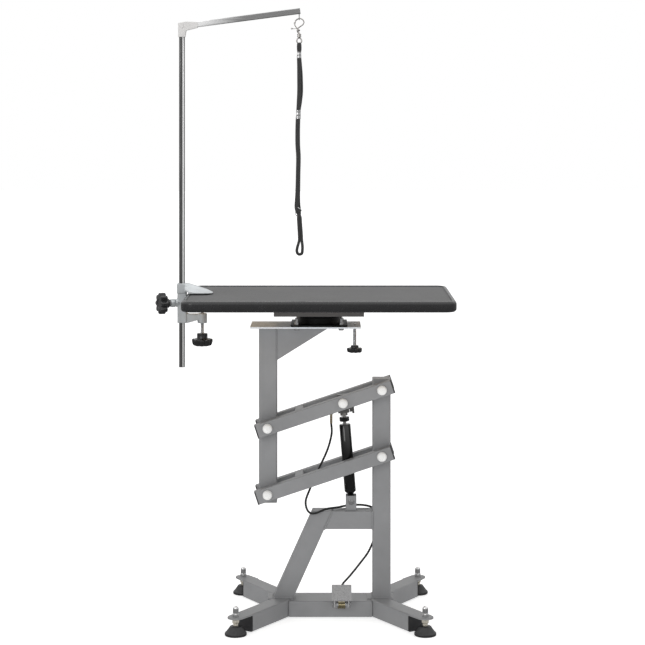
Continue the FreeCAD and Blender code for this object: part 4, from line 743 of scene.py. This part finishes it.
HOOK_X, LEVER_Z = midpoint("noose_swivel", X), 1650.5
BOW = [(-101.4, 0, 1667.5), (-98.6, 0, 1678), (-88.6, 0, 1684.4), (-79.6, 0, 1681.8),
       (-75.4, 0, 1674.6), (-78.4, 0, 1667), (-85.8, 0, 1661.4), (-92.4, 0, 1656.2),
       (-94, 0, 1650.6), (-91.8, 0, 1645), (HOOK_X, 0, 1640)]
LEVER = [(HOOK_X, -2.6, LEVER_Z), (-93, -2.8, 1655), (-98.4, -2.8, 1661.2),
         (-102.2, -2.4, 1669.6), (-101.6, -1.8, 1673.2)]
STALK = [(-95, -2.8, 1656.4), (-102, -2.8, 1655.2), (-107.6, -2.8, 1655.6)]
Y_BACK = (0, 1, 0)


def hook_section(t):
    """The wire, a little fatter towards its barrel."""
    past = max(0.0, t - 0.6)
    return oval(3.8 + 0.6 * past, 3.6 + 1.8 * past, 14)


barrel = lathe([(0, 1630.8), (5.2, 1630.8), (6, 1631.8), (6, 1633.6), (5, 1634.4),
                (5, 1637.4), (5.8, 1638.2), (5.8, 1640), (3.8, 1642), (1.6, 1644.6), (0, 1645.4)])
rivet = lathe([(0, -2), (3.2, -2), (3.5, -1.4), (3.5, 1.4), (3.2, 2), (0, 2)])
add_piece("snap_hook", [sweep(smooth_path(BOW, 8), hook_section),
                        stood(barrel, (HOOK_X, 0, 0)),
                        stood(rivet, (HOOK_X - 2.2, 0, LEVER_Z), Y_BACK),
                        wire([(HOOK_X - 4.6, 0, LEVER_Z), (HOOK_X, 0, LEVER_Z)], 1.7)],
          "chrome", "hook", ["hook_body"])
NUB_RADIUS = 2.6
nub = lathe([(NUB_RADIUS * math.sin(math.radians(a)), -NUB_RADIUS * math.cos(math.radians(a)))
             for a in range(0, 181, 15)], sides=20)
lever_eye = lathe([(0, -0.9), (2.4, -0.9), (2.8, 0), (2.4, 0.9), (0, 0.9)])
add_piece("snap_hook_lever", [wire(LEVER, 1.5), wire(STALK, 0.9),
                              stood(nub, (-109.4, -2.8, 1655.6)),
                              stood(lever_eye, (HOOK_X, -3.2, LEVER_Z), Y_BACK)],
          "chrome", "hook_gate", ["hook_lever"])
EYE_Z, EYE_HALF_X, EYE_HALF_Z, EYE_POINTS = 1621.4, 6.8, 7.6, 16
eye_loop = []
for k in range(EYE_POINTS):
    angle = k * 2 * math.pi / EYE_POINTS
    eye_loop.append((HOOK_X + EYE_HALF_X * math.sin(angle), 0,
                     EYE_Z - EYE_HALF_Z * math.cos(angle)))
swivel_pin = lathe([(0, 1628), (1.8, 1628), (2.2, 1629.6), (1.5, 1631), (1.5, 1635), (0, 1635)])
add_piece("noose_ring", [wire(eye_loop, 1.9, 4, True), stood(swivel_pin, (HOOK_X, 0, 0))],
          "chrome", "noose", ["noose_swivel"])

# ---- noose ---------------------------------------------------------------------------------


def strand(points, widths, thick):
    """A strap seen flat on: points along it and its width at each."""
    path = smooth_path(points, 10)

    def section(t):
        spot = t * (len(widths) - 1)
        low = min(int(spot), len(widths) - 2)
        wide = widths[low] + (widths[low + 1] - widths[low]) * (spot - low)
        return oval(thick, wide, 20, 0.75)

    return sweep(path, section)


STRAP_THICK = 3.4


def folded_top():
    """The strap's short loop over the ring's wire."""
    half = [(-3, 1590), (-3.8, 1597), (-3.9, 1606), (-3, 1612.6)]
    loop = half + [(0, 1614.8)] + [(-y, z) for y, z in reversed(half)]
    path = smooth_path([(HOOK_X, y, z) for y, z in loop], 6)

    def section(t):
        from_top = abs(t - 0.5)
        wide = 13.6 - 3 * math.exp(-40 * from_top ** 2) - 45 * max(0.0, from_top - 0.25) ** 2
        return oval(wide, 3, 20, 0.7)

    return sweep(path, section, side=(1, 0, 0))


front_strand = strand([(-89.6, -1.2, 1588), (-90, -2, 1572), (-89.2, -3, 1548),
                       (-88.9, -3, 1524), (-88.8, -3, 1480), (-90, -2.4, 1450),
                       (-91, -1.6, 1424), (-90.8, -1, 1408)],
                      [9, 10, 10.6, 11, 11, 11, 11.4, 10], STRAP_THICK)
rear_strand = strand([(-87.6, 1.4, 1588), (-87.4, 2.4, 1572), (-85.4, 3, 1548),
                      (-83.8, 3, 1524), (-83.2, 3, 1480), (-86, 2.4, 1450),
                      (-90, 1.8, 1424), (-90.6, 1, 1408)],
                     [9, 10, 10, 10.4, 11, 11, 11, 10], STRAP_THICK)
lower_front = strand([(-91, -1.4, 1415), (-92.4, -2, 1398), (-93.2, -2, 1360),
                      (-93, -2, 1326), (-91, -2, 1292), (-91.8, -2, 1250), (-92.8, -2, 1211),
                      (-94.6, -2.2, 1175), (-96, -2.6, 1156), (-95.6, -3.4, 1144),
                      (-91.6, -3.8, 1134), (-87.4, -3, 1130)],
                     [10, 12.4, 12.8, 12.6, 12.6, 12.4, 12, 12, 12, 11, 9, 8], STRAP_THICK)
lower_rear = strand([(-91, 1.4, 1415), (-91.8, 2, 1398), (-92.6, 2, 1360), (-92.2, 2, 1326),
                     (-90.4, 2, 1292), (-91, 2, 1250), (-91.6, 2, 1211), (-91.8, 2, 1175),
                     (-91, 2.4, 1156), (-89.4, 2.4, 1140), (-89.4, 2, 1126)],
                    [10, 12.4, 12.6, 12.4, 12.4, 12, 12, 12, 12, 12, 11], STRAP_THICK)
knot = strand([(-97.6, -4.4, 1148), (-93.6, -6, 1141), (-87.6, -4.6, 1143),
               (-84.8, 0, 1139), (-86.8, 4.6, 1134), (-93, 5.6, 1131), (-96.8, 3, 1133)],
              [8, 9.4, 10, 10, 9.4, 9, 8], 3)
END_LOOP = [(-91, 0, 1124), (-90.2, 0, 1100), (-88.9, 0, 1076), (-88.2, 0, 1060),
            (-89.6, 0, 1051), (-92.4, 0, 1042), (-94.6, 0, 1033), (-95.2, 0, 1025.4),
            (-92.6, 0, 1018.6), (-86.6, 0, 1016.6), (-81, 0, 1019.6), (-79.4, 0, 1030),
            (-79.6, 0, 1043), (-81.2, 0, 1056), (-82.2, 0, 1076), (-84, 0, 1100),
            (-86, 0, 1124)]
end_loop = sweep(smooth_path(END_LOOP, 8, True), lambda t: oval(11.5, 8.2, 20, 0.8), True)
add_piece("noose_webbing", [folded_top(), front_strand, rear_strand, lower_front, lower_rear,
                            knot, end_loop], "webbing", "noose", ["noose_strap"], 60)


def crimp(x, low, high, wide, deep):
    """A crimped metal sleeve, open at both ends, with two pressed grooves."""
    profile, steps, wall = [], 20, 0.9
    for i in range(steps + 1):
        t = i / steps
        groove = math.exp(-((t - 0.3) / 0.07) ** 2) + math.exp(-((t - 0.7) / 0.07) ** 2)
        profile.append((0.4 * groove, low + (high - low) * t))
    outer = [[Vector((x + b, a, z)) for a, b in oval(deep - d, wide - d, 28, 0.6)]
             for d, z in profile]
    inner = [[Vector((x + b, a, z))
              for a, b in oval(deep - 2 * wall - d, wide - 2 * wall - d, 28, 0.6)]
             for d, z in reversed(profile)]
    return outer + inner, True


SLIDE = [(-92, -6.4, 1149), (-84.6, -6, 1143.4), (-83, 2, 1140), (-91, 7.4, 1128),
         (-94.6, -1, 1125.4), (-99.6, -3, 1130), (-100, 3, 1135), (-94.5, 7.4, 1148)]
add_piece("noose_crimps", [crimp(HOOK_X, 1572, 1593.5, 11.6, 8.4),
                           crimp(-90.7, 1400, 1425, 12.8, 9.4),
                           wire(SLIDE, 1.1, 5, True)], "zinc", "noose",
          ["noose_ferrules"])

# ---- gas spring details ----------------------------------------------------------------------

GAS_X, GAS_Z, GAS_TILT = 58.2, 319.8, math.radians(4.69)
GAS_WAY = (-math.sin(GAS_TILT), 0, math.cos(GAS_TILT))
add_piece("gas_lock_nut", [stood(nut(24, 225.4, 237.6), (GAS_X, 0, GAS_Z), GAS_WAY)],
          "gas_black", "gas_piston", crease=30)
CHEEK_OUTSIDE = 18
washer = lathe([(8.6, 0), (9, 0.5), (8.6, 1.2), (4.2, 1.2), (4.2, 0)], True)
add_piece("gas_pin_nuts",
          [stood(shell, (GAS_X, side * CHEEK_OUTSIDE, GAS_Z), (0, side, 0))
           for side in (-1, 1) for shell in (nut(13.6, 1.2, 6.2), thread(4, 4, 9.4), washer)],
          "zinc", "base", crease=30)

# ---- release cable -------------------------------------------------------------------------

CABLE = [(2, -14, 540), (3, -14, 510), (-9, -14, 465), (-34, -14, 410), (-58, -19, 356),
         (-70, -27, 322), (-63, -31.6, 296), (-45, -32.4, 290), (-12, -26, 301), (20, 2, 300),
         (43, 24, 300), (75, 27, 302), (99, 30, 300), (119, 32, 293), (140, 33.6, 272),
         (142, 33, 238), (122, 30, 198), (106.8, 16, 169.6), (86.6, 0, 146), (57, -20, 114),
         (36, -42, 96), (31, -58, 88)]
cable = add_piece("release_cable_sheath", [wire(CABLE, 3, 12, sides=14)], "cable_black",
                  stands_for=["release_cable"])
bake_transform(cable)

# ---- camera, floor and light ---------------------------------------------------------------

CAMERA_Y, CAMERA_Z = -5.419, 1.411  # metres
SENSOR, LENS = 36, 106.828  # millimetres
SHIFT_RIGHT, SHIFT_UP = -0.0124, -0.3217  # shares of the frame's width

camera = bpy.data.objects.new("camera", bpy.data.cameras.new("camera"))
bpy.context.scene.collection.objects.link(camera)
bpy.context.scene.camera = camera
camera.data.sensor_width = SENSOR
camera.data.lens = LENS
camera.location = (0, CAMERA_Y, CAMERA_Z)
camera.rotation_euler = (math.radians(90), 0, 0)
camera.data.clip_end = 100


def shifted(path, amount):
    """Lens shift that holds only while the camera stands at its own station."""
    driver = camera.data.driver_add(path).driver
    variable = driver.variables.new()
    variable.name = "y"
    variable.type = "TRANSFORMS"
    variable.targets[0].id = camera
    variable.targets[0].transform_type = "LOC_Y"
    driver.expression = f"{amount} if abs(y - {CAMERA_Y}) < 0.0005 else 0"


shifted("shift_x", SHIFT_RIGHT)
shifted("shift_y", SHIFT_UP)


def stage_plane(name, corners, shader):
    data = bpy.data.meshes.new(name)
    data.from_pydata(corners, [], [(0, 1, 2, 3)])
    data.materials.append(shader.material)
    plane = bpy.data.objects.new(name, data)
    bpy.context.scene.collection.objects.link(plane)
    return plane


pale = Shader("floor")
pale.set(Base_Color=pale.mix(pale.noise(3), grey(0.9), grey(0.92)), Roughness=0.7,
         Emission_Color=grey(1), Emission_Strength=0.55)
reach = 30
ground = stage_plane("floor", [(-reach, -reach, 0), (reach, -reach, 0), (reach, reach, 0),
                               (-reach, reach, 0)], pale)
ground.visible_glossy = False

world = bpy.data.worlds.new("world")
bpy.context.scene.world = world
world.use_nodes = True
tree = world.node_tree


def sky(low, high, dim, bright):
    """A grey dome: one strength below the height low, another above the height high."""
    made = tree.nodes.new("ShaderNodeBackground")
    made.inputs[0].default_value = grey(1)
    rise = tree.nodes.new("ShaderNodeMapRange")
    rise.interpolation_type = "SMOOTHSTEP"
    tree.links.new(height.outputs["Z"], rise.inputs["Value"])
    for key, value in (("From Min", low), ("From Max", high), ("To Min", dim), ("To Max", bright)):
        rise.inputs[key].default_value = value
    tree.links.new(rise.outputs[0], made.inputs[1])
    return made.outputs[0]


def choose(factor, a, b):
    made = tree.nodes.new("ShaderNodeMixShader")
    for socket, source in zip(made.inputs, (factor, a, b)):
        tree.links.new(source, socket)
    return made.outputs[0]


# white to the camera, soft light from the sides, and for reflections a room that is bright
# overhead and dim at eye level
paths = tree.nodes.new("ShaderNodeLightPath").outputs
facing = tree.nodes.new("ShaderNodeTexCoord").outputs["Generated"]
height = tree.nodes.new("ShaderNodeSeparateXYZ")
tree.links.new(facing, height.inputs[0])
ambient = choose(paths["Is Glossy Ray"], sky(0, 1, 1.05, 0.5), sky(-0.25, 0.7, 0.25, 1.4))
tree.links.new(choose(paths["Is Camera Ray"], ambient, sky(-1, 1, 1, 1)),
               tree.nodes["World Output"].inputs[0])
bpy.context.scene.view_settings.view_transform = "Standard"


def area_light(name, place, aim, size, power):
    light = bpy.data.lights.new(name, "AREA")
    light.shape = "RECTANGLE"
    light.size, light.size_y = size
    light.energy = power
    lamp = bpy.data.objects.new(name, light)
    lamp.location = place
    lamp.rotation_euler = (Vector(aim) - Vector(place)).to_track_quat("-Z", "Y").to_euler()
    bpy.context.scene.collection.objects.link(lamp)


area_light("key", (-2.0, -3.4, 2.0), (0, 0, 0.8), (1.4, 1.4), 22)
area_light("top", (0, 0.3, 3.6), (0, 0, 0.8), (2.4, 1.6), 8)
